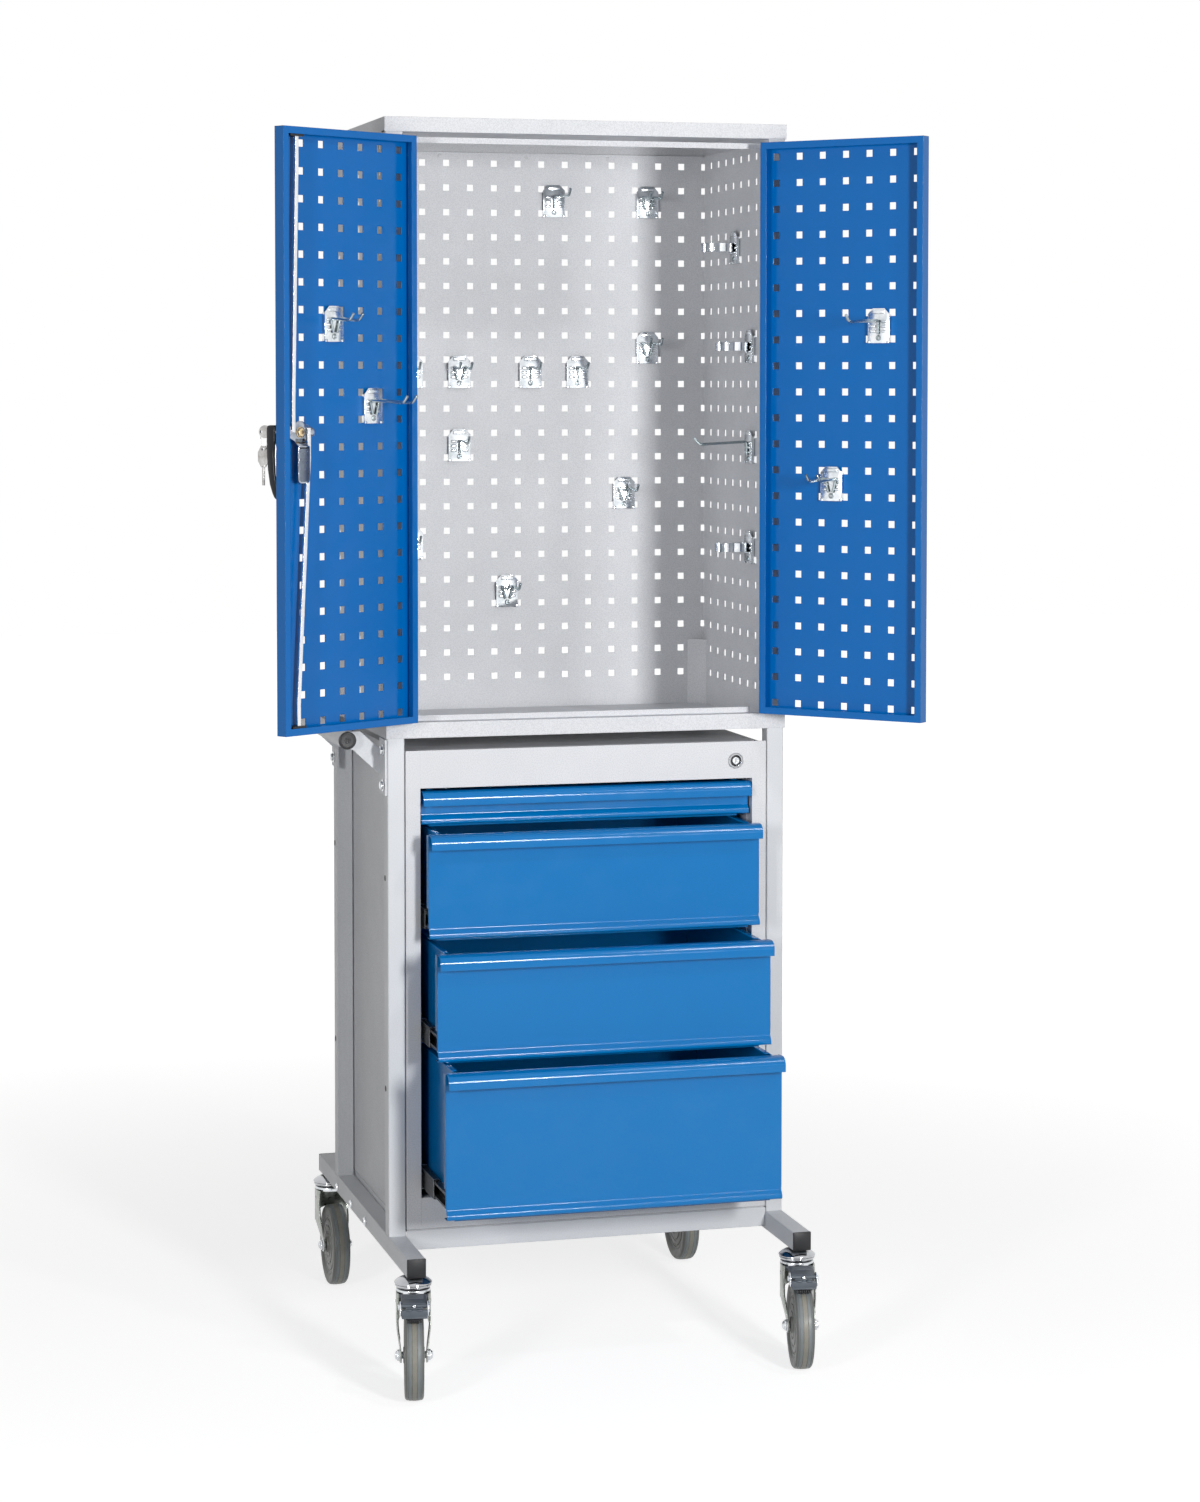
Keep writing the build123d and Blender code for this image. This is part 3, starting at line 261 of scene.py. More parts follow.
def blackened_steel(name):
    """Dark slide steel with a painted highlight along its cut edges, where it is painted as bright bare steel."""
    finish = Finish(name)
    finish.rounded(0.0005)
    finish.set(Specular_IOR_Level=0.2)
    edge = finish.add("ShaderNodeBevel", samples=6, Radius=0.0011)
    flat = finish.add("ShaderNodeNewGeometry")
    across = finish.add("ShaderNodeVectorMath", operation="DOT_PRODUCT")
    finish.feed(across.inputs[0], edge.outputs["Normal"])
    finish.feed(across.inputs[1], flat.outputs["Normal"])
    # Painted highlight: cut edges found by the bevel normal are painted pale metal
    painted_edge_highlight = finish.grey_ramp(across.outputs["Value"], 0.8, 1.0, 0.97, 0.0)
    oil = finish.noise(60.0, 4.0, 0.7, (1, 0.1, 1))
    dark = finish.mix(finish.grey_ramp(oil, 0.35, 0.0, 0.7, 1.0), (0.012, 0.013, 0.015, 1), (0.03, 0.033, 0.036, 1))
    finish.set(Base_Color=finish.mix(painted_edge_highlight, dark, (0.62, 0.66, 0.68, 1)))
    finish.set(Metallic=finish.grey_ramp(painted_edge_highlight, 0.0, 0.35, 1.0, 1.0))
    finish.rough(finish.noise(160.0, 4.0, 0.7, (1, 0.1, 1)), 0.22, 0.4)
    finish.bump(finish.noise(600.0, 3.0, 0.6), 0.05)
    return finish.material


def tyre_rubber(name):
    """Grey tyre: a buffed pale band in the middle of the tread, bluish shoulders whose tint is a painted reflection,
    and darker walls.
    """
    finish = Finish(name)
    finish.rounded(0.0008)
    across = finish.add("ShaderNodeAttribute", attribute_name="across")
    # The pale middle is wear; the bluish shoulder stops are a painted reflection of their sheen
    tread_wear_and_painted_sheen = finish.ramp(across.outputs["Fac"], (0.0, colour(142, 140, 130)), (0.24, colour(146, 142, 131)),
                        (0.3, colour(128, 135, 138)), (0.74, colour(122, 128, 130)), (0.8, colour(96, 99, 96)),
                        (1.0, colour(108, 110, 106)))
    dust = finish.noise(38.0, 5.0, 0.7)
    finish.set(Base_Color=finish.mix(finish.grey_ramp(dust, 0.4, 0.0, 0.75, 0.6), tread_wear_and_painted_sheen, colour(112, 114, 109)))
    finish.rough(finish.noise(90.0, 3.0, 0.6), 0.34, 0.5)
    finish.bump(finish.noise(1200.0, 2.0, 0.6), 0.15)
    return finish.material


def moulded(name, main, worn, roughness, grain=0.1, gloss=0.4):
    """Injection-moulded plastic or rubber with a fine spark-eroded grain."""
    finish = Finish(name)
    finish.set(Specular_IOR_Level=gloss)
    finish.rounded(0.0008)
    cloud = finish.noise(30.0, 4.0, 0.6)
    finish.set(Base_Color=finish.mix(finish.grey_ramp(cloud, 0.35, 0.0, 0.75, 1.0), main, worn))
    finish.rough(finish.noise(80.0, 3.0, 0.6), roughness - 0.08, roughness + 0.08)
    finish.bump(finish.noise(1500.0, 2.0, 0.6), grain)
    return finish.material


BLUE = powder_coat("blue_powder_coat", colour(0, 118, 188), colour(0, 109, 178), 0.15, 0.3, 0.28, 0.0006)
# The doors take a darker copy of the drawers' blue: painted shade for the weaker light on the doors
DARKER_DOOR_BLUE = powder_coat("door_blue_coat_with_painted_shade", colour(0, 106, 184), colour(0, 97, 172), 0.2, 0.35, 0.28, 0.0014)
GREY = powder_coat("grey_structure_coat", colour(226, 227, 230), colour(180, 182, 186), 0.48, 0.45)
FRAME_GREY = powder_coat("frame_grey_coat", colour(222, 224, 227), colour(190, 193, 197), 0.42, 0.3)
ZINC = bright_metal("clear_zinc", (0.74, 0.76, 0.78, 1), (0.46, 0.49, 0.52, 1), 0.22, 0.5)
ROD_ZINC = bright_metal("rod_zinc", (0.90, 0.91, 0.92, 1), (0.70, 0.72, 0.74, 1), 0.26, 0.4, (1, 1, 0.08))
FORK_ZINC = bright_metal("fork_zinc", (0.44, 0.46, 0.43, 1), (0.26, 0.28, 0.26, 1), 0.3, 0.8)
CHROME = bright_metal("raceway_chrome", (0.52, 0.53, 0.55, 1), (0.34, 0.34, 0.35, 1), 0.08, 0.5, bump=0.01)
CAM_STEEL = bright_metal("cam_steel", (0.50, 0.54, 0.60, 1), (0.20, 0.24, 0.30, 1), 0.1, 0.9)
KEY_NICKEL = bright_metal("key_nickel", (0.62, 0.61, 0.60, 1), (0.30, 0.29, 0.28, 1), 0.22, 0.9)
HOLDER_ZINC = bright_metal("holder_zinc", (0.84, 0.87, 0.90, 1), (0.46, 0.52, 0.56, 1), 0.16, 0.6)
DARK_STEEL = bright_metal("dark_steel", (0.20, 0.23, 0.28, 1), (0.12, 0.14, 0.18, 1), 0.3, 0.7)
BRASS = bright_metal("yellow_zinc", (0.82, 0.63, 0.33, 1), (0.62, 0.48, 0.36, 1), 0.2, 0.8)
SLIDE_STEEL = blackened_steel("slide_steel")
PRONG_STEEL = bright_metal("prong_wire", (0.46, 0.53, 0.55, 1), (0.20, 0.24, 0.25, 1), 0.22, 0.6)
BLACK = moulded("black_plastic", colour(26, 27, 29), colour(40, 41, 44), 0.4)
# The bluish cast of this black is a painted reflection of the blue door
LEVER_BLACK = moulded("lever_lacquer", colour(18, 24, 34), colour(24, 30, 40), 0.16, 0.03, 0.3)
PEDAL_DARK = moulded("pedal_dark", colour(88, 94, 102), colour(74, 80, 88), 0.4)
PEDAL_GREY = moulded("pedal_grey", colour(96, 103, 111), colour(82, 89, 97), 0.42)
TYRE = tyre_rubber("grey_rubber")
HUB = moulded("hub_plastic", colour(150, 152, 147), colour(136, 138, 133), 0.42)

NODE_FINISHES = {
    BLUE: ["drawer_1", "drawer_2", "drawer_3", "drawer_4"],
    DARKER_DOOR_BLUE: ["left_door_panel", "left_door_hinge_leaves", "right_door_panel", "right_door_hinge_leaves"],
    GREY: ["drawer_unit_shell", "drawer_unit_face", "top_cover", "floor_tray", "right_side_wall", "left_side_wall",
           "back_wall", "corner_cover", "frame_hinge_leaves"],
    FRAME_GREY: ["foot_tubes", "uprights", "cross_rails", "handle_tube", "handle_brackets"],
    ZINC: ["wall_holders", "drawer_lock_housing", "drawer_lock_plug", "left_door_holders", "right_door_holders",
           "lock_cam", "lock_key"],
    ROD_ZINC: ["upper_lock_rod", "lower_lock_rod"],
    FORK_ZINC: ["fork_" + name for name in CASTERS],
    CHROME: ["caster_raceways", "lock_rosette"],
    SLIDE_STEEL: ["slide_outer_members"] + [f"slide_{part}_{n}" for part in ("middle", "inner") for n in (1, 2, 3, 4)],
    BLACK: ["tube_end_caps", "lock_lever", "rod_guides"],
    PEDAL_GREY: ["brake_pedal_front_left", "brake_pedal_front_right"],
    TYRE: ["tyre_" + name for name in CASTERS],
    HUB: ["hub_" + name for name in CASTERS],
}
for material, names in NODE_FINISHES.items():
    for name in names:
        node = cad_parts[name]
        node.data.materials.clear()
        node.data.materials.append(material)


# ---- Shaping ----


def placed(name, data):
    thing = bpy.data.objects.new(name, data)
    bpy.context.scene.collection.objects.link(thing)
    return thing


def finished(name, mesh, material, body, place=Matrix.Identity(4), stands_for=(), thickness=0, merge=0.01,
             sharp=32):
    """Turns a drawing into a piece in its place, with the body that it rides on and the solids it stands for."""
    bmesh.ops.remove_doubles(mesh, verts=mesh.verts, dist=merge)
    bmesh.ops.recalc_face_normals(mesh, faces=mesh.faces)
    mesh.transform(TO_METRES @ place)
    if place.determinant() < 0:
        bmesh.ops.reverse_faces(mesh, faces=mesh.faces)
    for face in mesh.faces:
        face.smooth = True
    for edge in mesh.edges:
        edge.smooth = len(edge.link_faces) == 2 and edge.calc_face_angle(0) < radians(sharp)
    data = bpy.data.meshes.new(name)
    mesh.to_mesh(data)
    mesh.free()
    data.materials.append(material)
    piece = placed(name, data)
    if thickness:
        wall = piece.modifiers.new("gauge", "SOLIDIFY")
        wall.thickness = thickness / 1000
        wall.offset = 0
    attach(piece, body)
    if stands_for:
        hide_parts(*stands_for)
    return piece


def moved(mesh, verts, place):
    bmesh.ops.transform(mesh, matrix=place, verts=verts)


def everything(mesh):
    return mesh.verts[:] + mesh.edges[:] + mesh.faces[:]


def span(middle, half):
    return middle - half, middle + half


def points_of(elements):
    return [element for element in elements if isinstance(element, bmesh.types.BMVert)]


def shifted(mesh, made, step):
    """Moves the new points of an extrusion and returns them."""
    new = points_of(made["geom"])
    bmesh.ops.translate(mesh, verts=new, vec=step)
    return new


def strip_in(mesh, points, step):
    """A sheet: points joined in a row and drawn out by a step."""
    verts = [mesh.verts.new(point) for point in points]
    edges = [mesh.edges.new(pair) for pair in zip(verts, verts[1:])]
    return verts + shifted(mesh, bmesh.ops.extrude_edge_only(mesh, edges=edges), step)


def softened(mesh, verts, bevel, segments):
    """Rounds the edges between points and returns the points of the result."""
    if not bevel:
        return verts
    edges = list({edge for vert in verts for edge in vert.link_edges})
    done = bmesh.ops.bevel(mesh, geom=edges, offset=bevel, segments=segments, profile=0.5, affect="EDGES", material=-1)
    return list({vert for face in done["faces"] for vert in face.verts} | {v for v in verts if v.is_valid})


def box_in(mesh, x, y, z, bevel=0.0, place=Matrix.Identity(4), segments=2):
    """A block between three pairs of faces, with rounded edges."""
    start = Vector((x[0], y[0], z[0]))
    end = Vector((x[1], y[1], z[1]))
    size = end - start
    shape = Matrix.Translation((start + end) / 2) @ Matrix.Diagonal((size.x, size.y, size.z, 1))
    made = bmesh.ops.create_cube(mesh, size=1, matrix=shape)
    moved(mesh, softened(mesh, made["verts"], bevel, segments), place)


def turned_in(mesh, profile, place=Matrix.Identity(4), steps=48):
    """Spins (radius, height) points about Z."""
    verts = [mesh.verts.new((radius, 0, height)) for radius, height in profile]
    edges = [mesh.edges.new(pair) for pair in zip(verts, verts[1:])]
    made = bmesh.ops.spin(mesh, geom=verts + edges, axis=(0, 0, 1), cent=(0, 0, 0), angle=tau, steps=steps,
                          use_merge=True)
    reached = set(points_of(made["geom_last"])) | set(verts)
    frontier = list(reached)
    while frontier:
        vert = frontier.pop()
        for edge in vert.link_edges:
            other = edge.other_vert(vert)
            if other not in reached:
                reached.add(other)
                frontier.append(other)
    verts = list(reached)
    bmesh.ops.remove_doubles(mesh, verts=verts, dist=0.001)
    verts = [vert for vert in verts if vert.is_valid]
    moved(mesh, verts, place)
    return verts


def plate_in(mesh, outline, thickness, bevel=0.0, place=Matrix.Identity(4), segments=2):
    """A flat plate: an outline in XY raised along Z, with its edges rounded."""
    face = mesh.faces.new([mesh.verts.new((x, y, 0)) for x, y in outline])
    top = shifted(mesh, bmesh.ops.extrude_face_region(mesh, geom=[face]), (0, 0, thickness))
    moved(mesh, softened(mesh, list(face.verts) + top, bevel, segments), place)


def wire_in(mesh, points, radius, sides=10, place=Matrix.Identity(4), bend=0.0):
    """A round wire along points, with its bends rounded and its ends closed."""
    curve = bpy.data.curves.new("wire", "CURVE")
    curve.dimensions = "3D"
    curve.bevel_depth = radius
    curve.bevel_resolution = max(0, sides // 4 - 1)
    curve.use_fill_caps = True
    path = bend_rounded([Vector(point) for point in points], bend)
    spline = curve.splines.new("POLY")
    spline.points.add(len(path) - 1)
    for point, at in zip(spline.points, path):
        point.co = (*at, 1)
    holder = bpy.data.objects.new("wire", curve)
    data = bpy.data.meshes.new_from_object(holder)
    bpy.data.objects.remove(holder)
    data.transform(place)
    mesh.from_mesh(data)
    bpy.data.meshes.remove(data)


def bend_rounded(points, bend):
    if not bend:
        return points
    path = [points[0]]
    for before, corner, after in zip(points, points[1:], points[2:]):
        into = (corner - before).normalized() * bend
        out = (after - corner).normalized() * bend
        start, end = corner - into, corner + out
        path += [start.lerp(corner, t).lerp(corner.lerp(end, t), t) for t in (0, 0.25, 0.5, 0.75, 1)]
    return path + [points[-1]]


# ---- Perforated walls ----


def perforated(columns, first, margins):
    """A flat panel in XZ with square holes on the grid and plain margins round it: (before, after, below, above).

    The last column lies on the corner of the locker and is cut through by it."""
    mesh = bmesh.new()
    half_x = columns * PITCH / 2
    half_z = GRID_ROWS * PITCH / 2
    left, top = first - PITCH / 2, GRID_TOP + PITCH / 2
    stand = shift(left + half_x, 0, top - half_z) @ quarter("X") @ Matrix.Diagonal((half_x, half_z, 1, 1))
    bmesh.ops.create_grid(mesh, x_segments=columns, y_segments=GRID_ROWS, size=1, matrix=stand)
    cells = list(mesh.faces)
    bmesh.ops.inset_individual(mesh, faces=cells, thickness=(PITCH - HOLE) / 2, use_even_offset=True)
    bmesh.ops.delete(mesh, geom=cells, context="FACES")
    low_x, high_x, low_z, high_z = margins
    widen(mesh, 0, left, low_x)
    bmesh.ops.bisect_plane(mesh, geom=everything(mesh), plane_co=(high_x, 0, 0), plane_no=(1, 0, 0), clear_outer=True)
    widen(mesh, 2, top - GRID_ROWS * PITCH, low_z)
    widen(mesh, 2, top, high_z)
    return mesh


def widen(mesh, axis, level, edge_at):
    """Moves or extends the border that lies at one level out to where the sheet ends."""
    border = [vert for vert in mesh.verts if abs(vert.co[axis] - level) < 0.01]
    outward = edge_at - level
    if abs(outward) < 0.01:
        return
    step = Vector((0, 0, 0))
    step[axis] = outward
    if abs(outward) < PITCH / 2:
        bmesh.ops.translate(mesh, verts=border, vec=step)
        return
    edges = [edge for edge in mesh.edges if edge.is_boundary and all(vert in border for vert in edge.verts)]
    shifted(mesh, bmesh.ops.extrude_edge_only(mesh, edges=edges), step)


def back_panel():
    middle = shift(0, BACK_FACE + HALF_SHEET, 0)
    mesh = perforated(BACK_COLUMNS, BACK_FIRST_COLUMN, (-WALL_X, WALL_X, WALL_LOW, WALL_HIGH))
    finished("back_panel", mesh, GREY, "cabinet", middle, ["back_wall"], SHEET)


def side_panel(side, name, node):
    """Perforated side with the folded stile at its front edge."""
    stand = shift(side * (WALL_X - HALF_SHEET), 0, 0) @ quarter("Z")
    last = SIDE_FIRST_COLUMN + PITCH - PITCH * (SIDE_COLUMNS - 1)
    rear = FRONT + STILE_DEPTH
    mesh = perforated(SIDE_COLUMNS, last, (rear, BACK_FACE, WALL_LOW, WALL_HIGH))
    mesh.transform(stand)
    inner, outer, wall = STILE_INNER + HALF_SHEET, CABINET_HALF - HALF_SHEET, WALL_X - HALF_SHEET
    fold = [(inner, rear), (inner, FRONT + HALF_SHEET), (outer, FRONT + HALF_SHEET), (outer, rear - HALF_SHEET),
            (wall, rear - HALF_SHEET), (wall, rear)]
    strip_in(mesh, [(side * x, y, STILE_LOW) for x, y in fold], (0, 0, WALL_HIGH - STILE_LOW))
    finished(name, mesh, GREY, "cabinet", stands_for=[node], thickness=SHEET)


back_panel()
side_panel(1, "right_side_panel", "right_side_wall")
side_panel(-1, "left_side_panel", "left_side_wall")


# ---- Drawers ----


def sheet_in(mesh, path, start, end, bend=0.0):
    """A folded sheet: a path in YZ with rounded bends, drawn out along X."""
    strip_in(mesh, bend_rounded([Vector((start, y, z)) for y, z in path], bend), (end - start, 0, 0))


def face_in(mesh, x, corners):
    mesh.faces.new([mesh.verts.new((x, y, z)) for y, z in corners])


def drawer_pan(number, bottom, height, out):
    """Front with its stepped foot, folded ends and rolled pull; sides with turned-in edges, floor and rear."""
    mesh = bmesh.new()
    plane = FRONT + DRAWER_SET_BACK - out + HALF_SHEET
    top = bottom + height - HALF_SHEET
    wide = DRAWER_HALF - HALF_SHEET
    step = bottom + 12.8
    foot, heel = plane - 6, plane + 9
    low = bottom + HALF_SHEET
    sheet_in(mesh, [(plane, top - 0.7), (plane, step), (foot, step - 6.3), (foot, low), (heel, low)], -wide, wide, 1.4)
    sheet_in(mesh, [(heel, low), (heel, bottom - 4.6)], 14 - wide, wide - 14)
    lip_face = plane - 19.9
    lip = [(plane + 0.6, top), (plane - 10, top), (plane - 16.2, top - 2.5), (lip_face, top - 9.0),
           (lip_face, top - 20.3)]
    sheet_in(mesh, lip, -wide, wide, 2.6)
    half = DRAWER_BOX_HALF - HALF_SHEET
    back = plane + DRAWER_BOX_LENGTH
    floor = bottom + 2.6
    start = plane + 0.8
    clear_of_slide = bottom + 43
    for side in (-1, 1):
        face_in(mesh, side * wide, [(plane, step + 3), (plane, top - 1), (plane + 12, top - 1),
                                    (plane + 12, clear_of_slide), (plane + 2, clear_of_slide), (plane + 2, step + 3)])
        face_in(mesh, side * half, [(start, floor), (start, top), (back, top), (back, floor)])
        edge = [(half, plane + 16), (half - 7, plane + 16), (half - 7, back - 8), (half, back - 8)]
        mesh.faces.new([mesh.verts.new((side * x, y, top)) for x, y in edge])
    sheet_in(mesh, [(start, floor), (back, floor), (back, top)], 0.3 - half, half - 0.3, 1.2)
    finished(f"drawer_pan_{number}", mesh, BLUE, f"drawer_{number}_body",
             stands_for=[f"drawer_{number}"], thickness=SHEET, merge=0.001, sharp=50)


for number, (bottom, height, out) in enumerate(DRAWERS, 1):
    drawer_pan(number, bottom, height, out)


# ---- Fasteners ----


def along(point, direction):
    """Stands a shape that was turned about Z on a point, with its top along a direction."""
    return Matrix.Translation(point) @ Vector(direction).to_track_quat("Z", "Y").to_matrix().to_4x4()


def hexagon(radius):
    return [(radius * cos(radians(60 * i)), radius * sin(radians(60 * i))) for i in range(6)]


def pin_in(mesh, place, radius, half_length, steps=20):
    """A plain round pin, as long to both sides of its place."""
    ends = [(0, -half_length), (radius, -half_length), (radius, half_length), (0, half_length)]
    turned_in(mesh, ends, place, steps)


def hex_bolt(mesh, place, radius=6.5, height=5.0):
    """Washer, chamfered hexagon head and the flat disc on top of it."""
    turned_in(mesh, [(0, 0), (radius * 1.35, 0), (radius * 1.35, 1.0), (radius * 1.2, 1.4), (0, 1.4)], place, 24)
    plate_in(mesh, hexagon(radius), height, 0.7, place)
    disc = [(0, height - 0.6), (radius * 0.72, height - 0.6), (radius * 0.7, height + 0.25), (0, height + 0.25)]
    turned_in(mesh, disc, place, 24)


def pan_screw(mesh, place, radius=4.0, height=2.2):
    """Low domed head with a hexagon socket."""
    rise = [(0, 0), (radius, 0), (radius, height * 0.35), (radius * 0.86, height * 0.8), (radius * 0.6, height),
            (radius * 0.42, height), (radius * 0.4, height * 0.4), (0, height * 0.4)]
    turned_in(mesh, rise, place, 24)


BRACKET_SIDE = -301.5
FOOT_SIDE = 299.5
UPRIGHT_SIDE = 298.5
SKIRT_X = 271.2


def frame_bolts():
    """Bolts of the handle, screws and plugs of the frame, and the drawer unit's skirts over the foot tubes."""
    mesh = bmesh.new()
    for y in (-188.5, 188.5):
        for z in (898.0, 847.0):
            hex_bolt(mesh, along((BRACKET_SIDE, y, z), (-1, 0, 0)))
    finished("bracket_bolts", mesh, ZINC, "cabinet")
    mesh = bmesh.new()
    for side in (-1, 1):
        for y in (-38.0, 70.0, 180.0):
            pan_screw(mesh, along((side * FOOT_SIDE, y, FOOT_Z - 4), (side, 0, 0)), 6.0, 3.6)
    finished("foot_screws", mesh, ZINC, "cabinet")
    mesh = bmesh.new()
    for side in (-1, 1):
        for y in (-186.0, 197.0):
            for z in (712.0, 406.0):
                turned_in(mesh, [(0, 0.05), (3.0, 0.05), (3.4, 0.4), (4.2, 0.4), (4.4, 0)],
                          along((side * UPRIGHT_SIDE, y, z), (side, 0, 0)), 20)
    finished("upright_plugs", mesh, BLACK, "cabinet")
    mesh = bmesh.new()
    for side in (-1, 1):
        box_in(mesh, span(side * SKIRT_X, 0.6), (FRONT + 27, -FRONT - 27), (191.0, 200.9), 0.3)
    finished("unit_base_skirts", mesh, FRAME_GREY, "cabinet")


# ---- Tube end caps ----


def foot_cap(mesh, place):
    """Square insert with rounded corners and a crowned face."""
    blocks = ((13.75, (0, 3.0), 1.5, 3), (11.6, (1.5, 3.5), 0.5, 2), (11.9, (-12, 0.5), 0.5, 2))
    for half, depth, bevel, segments in blocks:
        box_in(mesh, span(0, half), span(0, half), depth, bevel, place, segments)


def handle_cap(mesh, place):
    rim = [(0, -12), (11, -12), (11, 0), (12.9, 0), (13.0, 0.6), (12.6, 2.2), (11.4, 2.9), (9.6, 3.0), (9.2, 2.4),
           (4.2, 2.3), (3.8, 3.0), (2.2, 3.0), (1.8, 2.2), (0, 2.1)]
    turned_in(mesh, rim, place, 40)


def end_caps():
    mesh = bmesh.new()
    for x in (-FOOT_X, FOOT_X):
        for end in (-1, 1):
            foot_cap(mesh, along((x, end * FOOT_END, FOOT_Z), (0, end, 0)))
    for end in (-1, 1):
        handle_cap(mesh, along((HANDLE_X, end * HANDLE_END, HANDLE_Z), (0, end, 0)))
    finished("end_caps", mesh, BLACK, "cabinet", stands_for=["tube_end_caps"])


# ---- Casters, drawn with the wheel trailing along X ----

PEDAL_AXIS = (17, 0, 139)
FORK_REACH = 24.6
FORK_TOP = 144
AXLE = shift(TRAIL, 0, WHEEL_RADIUS) @ quarter("X")


def mirrored_profile(half):
    """A profile that is drawn for one side of the wheel, closed over the other side."""
    return half + [(radius, -height) for radius, height in reversed(half)] + [half[0]]


def raceways():
    mesh = bmesh.new()
    cup = [(0, 17.5), (9.5, 17.5), (9.8, 15.6), (13.0, 15.2), (17.5, 14.2), (21.5, 12.2), (24.6, 9.9), (26.4, 8.3),
           (27.0, 7.3), (26.9, 6.5), (25.9, 6.0), (25.3, 5.6), (25.8, 4.9), (26.1, 3.8), (25.7, 2.5), (24.5, 1.2),
           (22.6, 0.3), (20.5, 0.0), (0, 0.0)]
    for place in CASTERS.values():
        turned_in(mesh, cup, place @ shift(0, 0, RACEWAY_BOTTOM), 72)
    finished("swivel_cups", mesh, CHROME, "cabinet", stands_for=["caster_raceways"], sharp=50)


def wrapped(along_sheet, height):
    """Bends the flat fork blank round the swivel: a half round behind it, legs in front that close on the axle."""
    if along_sheet < 0:
        angle = along_sheet / FORK_REACH
        return Vector((FORK_REACH * sin(angle), FORK_REACH * cos(angle), height))
    closing = min(1.0, max(0.0, (104.0 - height) / 44.0))
    closing = closing * closing * (3 - 2 * closing)
    edge = 21.5 + 0.36 * max(0.0, FORK_TOP - height)
    turned_edge = min(1.0, max(0.0, (along_sheet - edge + 9.0) / 9.0)) if height > 84 else 0.0
    return Vector((along_sheet, FORK_REACH - 5.4 * closing - 3.4 * turned_edge ** 2 * (1 - closing), height))


def fork(name, place):
    """Pressed fork with its half-round back, crown disc, axle and hexagon nuts."""
    mesh = bmesh.new()
    round_axle = [radians(50 - 22 * i) for i in range(11)]
    boss = [(TRAIL + 11 * cos(a), WHEEL_RADIUS + 11 * sin(a)) for a in round_axle]
    blank = [(-38.6, FORK_TOP), (21.5, FORK_TOP), (22.6, 136), (26.5, 122), (33, 104), (41, 87), (48, 73)] + boss
    blank += [(27, 68), (17, 77), (7, 86), (-4, 94), (-14, 101), (-25, 107), (-38.6, 110)]
    mesh.faces.new([mesh.verts.new((x, 0, z)) for x, z in blank])
    cuts = [((x, 0, 0), (1, 0, 0)) for x in range(-36, 52, 4)]
    cuts += [((0, 0, z), (0, 0, 1)) for z in range(56, FORK_TOP, 8)]
    for point, normal in cuts:
        bmesh.ops.bisect_plane(mesh, geom=everything(mesh), plane_co=point, plane_no=normal, dist=0.01)
    for vert in mesh.verts:
        vert.co = wrapped(vert.co.x, vert.co.z)
    bmesh.ops.mirror(mesh, geom=everything(mesh), merge_dist=0.3, axis="Y")
    bmesh.ops.recalc_face_normals(mesh, faces=mesh.faces)
    bmesh.ops.solidify(mesh, geom=mesh.faces[:], thickness=2.0)
    moved(mesh, mesh.verts[:], place)
    finished("fork_sheet_" + name, mesh, FORK_ZINC, "swivel_" + name, stands_for=["fork_" + name], sharp=40)
    mesh = bmesh.new()
    crown = [(0, CROWN_TOP), (22.6, CROWN_TOP), (24.0, 147.6), (24.5, 145.6), (24.3, 142.4), (20, 141.2), (0, 141.2)]
    turned_in(mesh, crown, place, 48)
    for side in (-1, 1):
        nut = place @ along((TRAIL, side * 19.0, WHEEL_RADIUS), (0, side, 0))
        turned_in(mesh, [(0, 0), (10.2, 0), (10.2, 1.0), (9.6, 1.5), (0, 1.5)], nut, 24)
        plate_in(mesh, hexagon(8.3), 4.8, 0.7, nut)
        turned_in(mesh, [(0, 4.4), (6.0, 4.4), (5.8, 6.4), (4.6, 7.5), (2.4, 8.0), (0, 8.1)], nut, 24)
        rivet = place @ along((4, side * 24.7, 130), (0, side, 0))
        turned_in(mesh, [(0, 0), (2.6, 0.2), (2.4, 0.7), (0, 0.9)], rivet, 16)
    pin_in(mesh, place @ AXLE, 5, 19)
    finished("fork_fittings_" + name, mesh, ZINC, "swivel_" + name, stands_for=["fork_" + name])


def banded(mesh, place):
    """Records how far each point of a wheel lies from its middle, then puts the wheel in its place."""
    layer = mesh.verts.layers.float.new("across")
    for vert in mesh.verts:
        vert[layer] = abs(vert.co.z) / HALF_WHEEL
    moved(mesh, mesh.verts[:], place @ AXLE)


def wheel(name, place):
    tread = [(45.0, 9.6), (46.0, 10.6), (48.5, 11.4), (50.0, 12.4), (56.5, 13.4), (59.4, 12.9), (61.2, 11.2),
             (61.9, 9.4), (61.4, 9.0), (61.4, 8.5), (62.0, 8.1), (62.3, 5.6), (62.4, 4.0), (61.9, 3.7), (61.9, 3.3),
             (62.5, 3.0), (62.5, 1.2)]
    mesh = bmesh.new()
    turned_in(mesh, mirrored_profile(tread), steps=96)
    banded(mesh, place)
    finished("tread_" + name, mesh, TYRE, "wheel_" + name, stands_for=["tyre_" + name])
    mesh = bmesh.new()
    disc = [(5.3, 15.0), (10.6, 15.0), (11.6, 14.4), (12.0, 12.6), (18.0, 12.2), (18.4, 11.0), (20.6, 11.0),
            (21.0, 12.0), (29.0, 11.6), (29.4, 10.2), (31.6, 10.2), (32.0, 11.2), (39.0, 10.8), (39.6, 9.4),
            (41.8, 9.4), (42.4, 10.6), (45.0, 10.4)]
    turned_in(mesh, mirrored_profile(disc), place @ AXLE, 72)
    finished("wheel_disc_" + name, mesh, HUB, "wheel_" + name, stands_for=["hub_" + name])


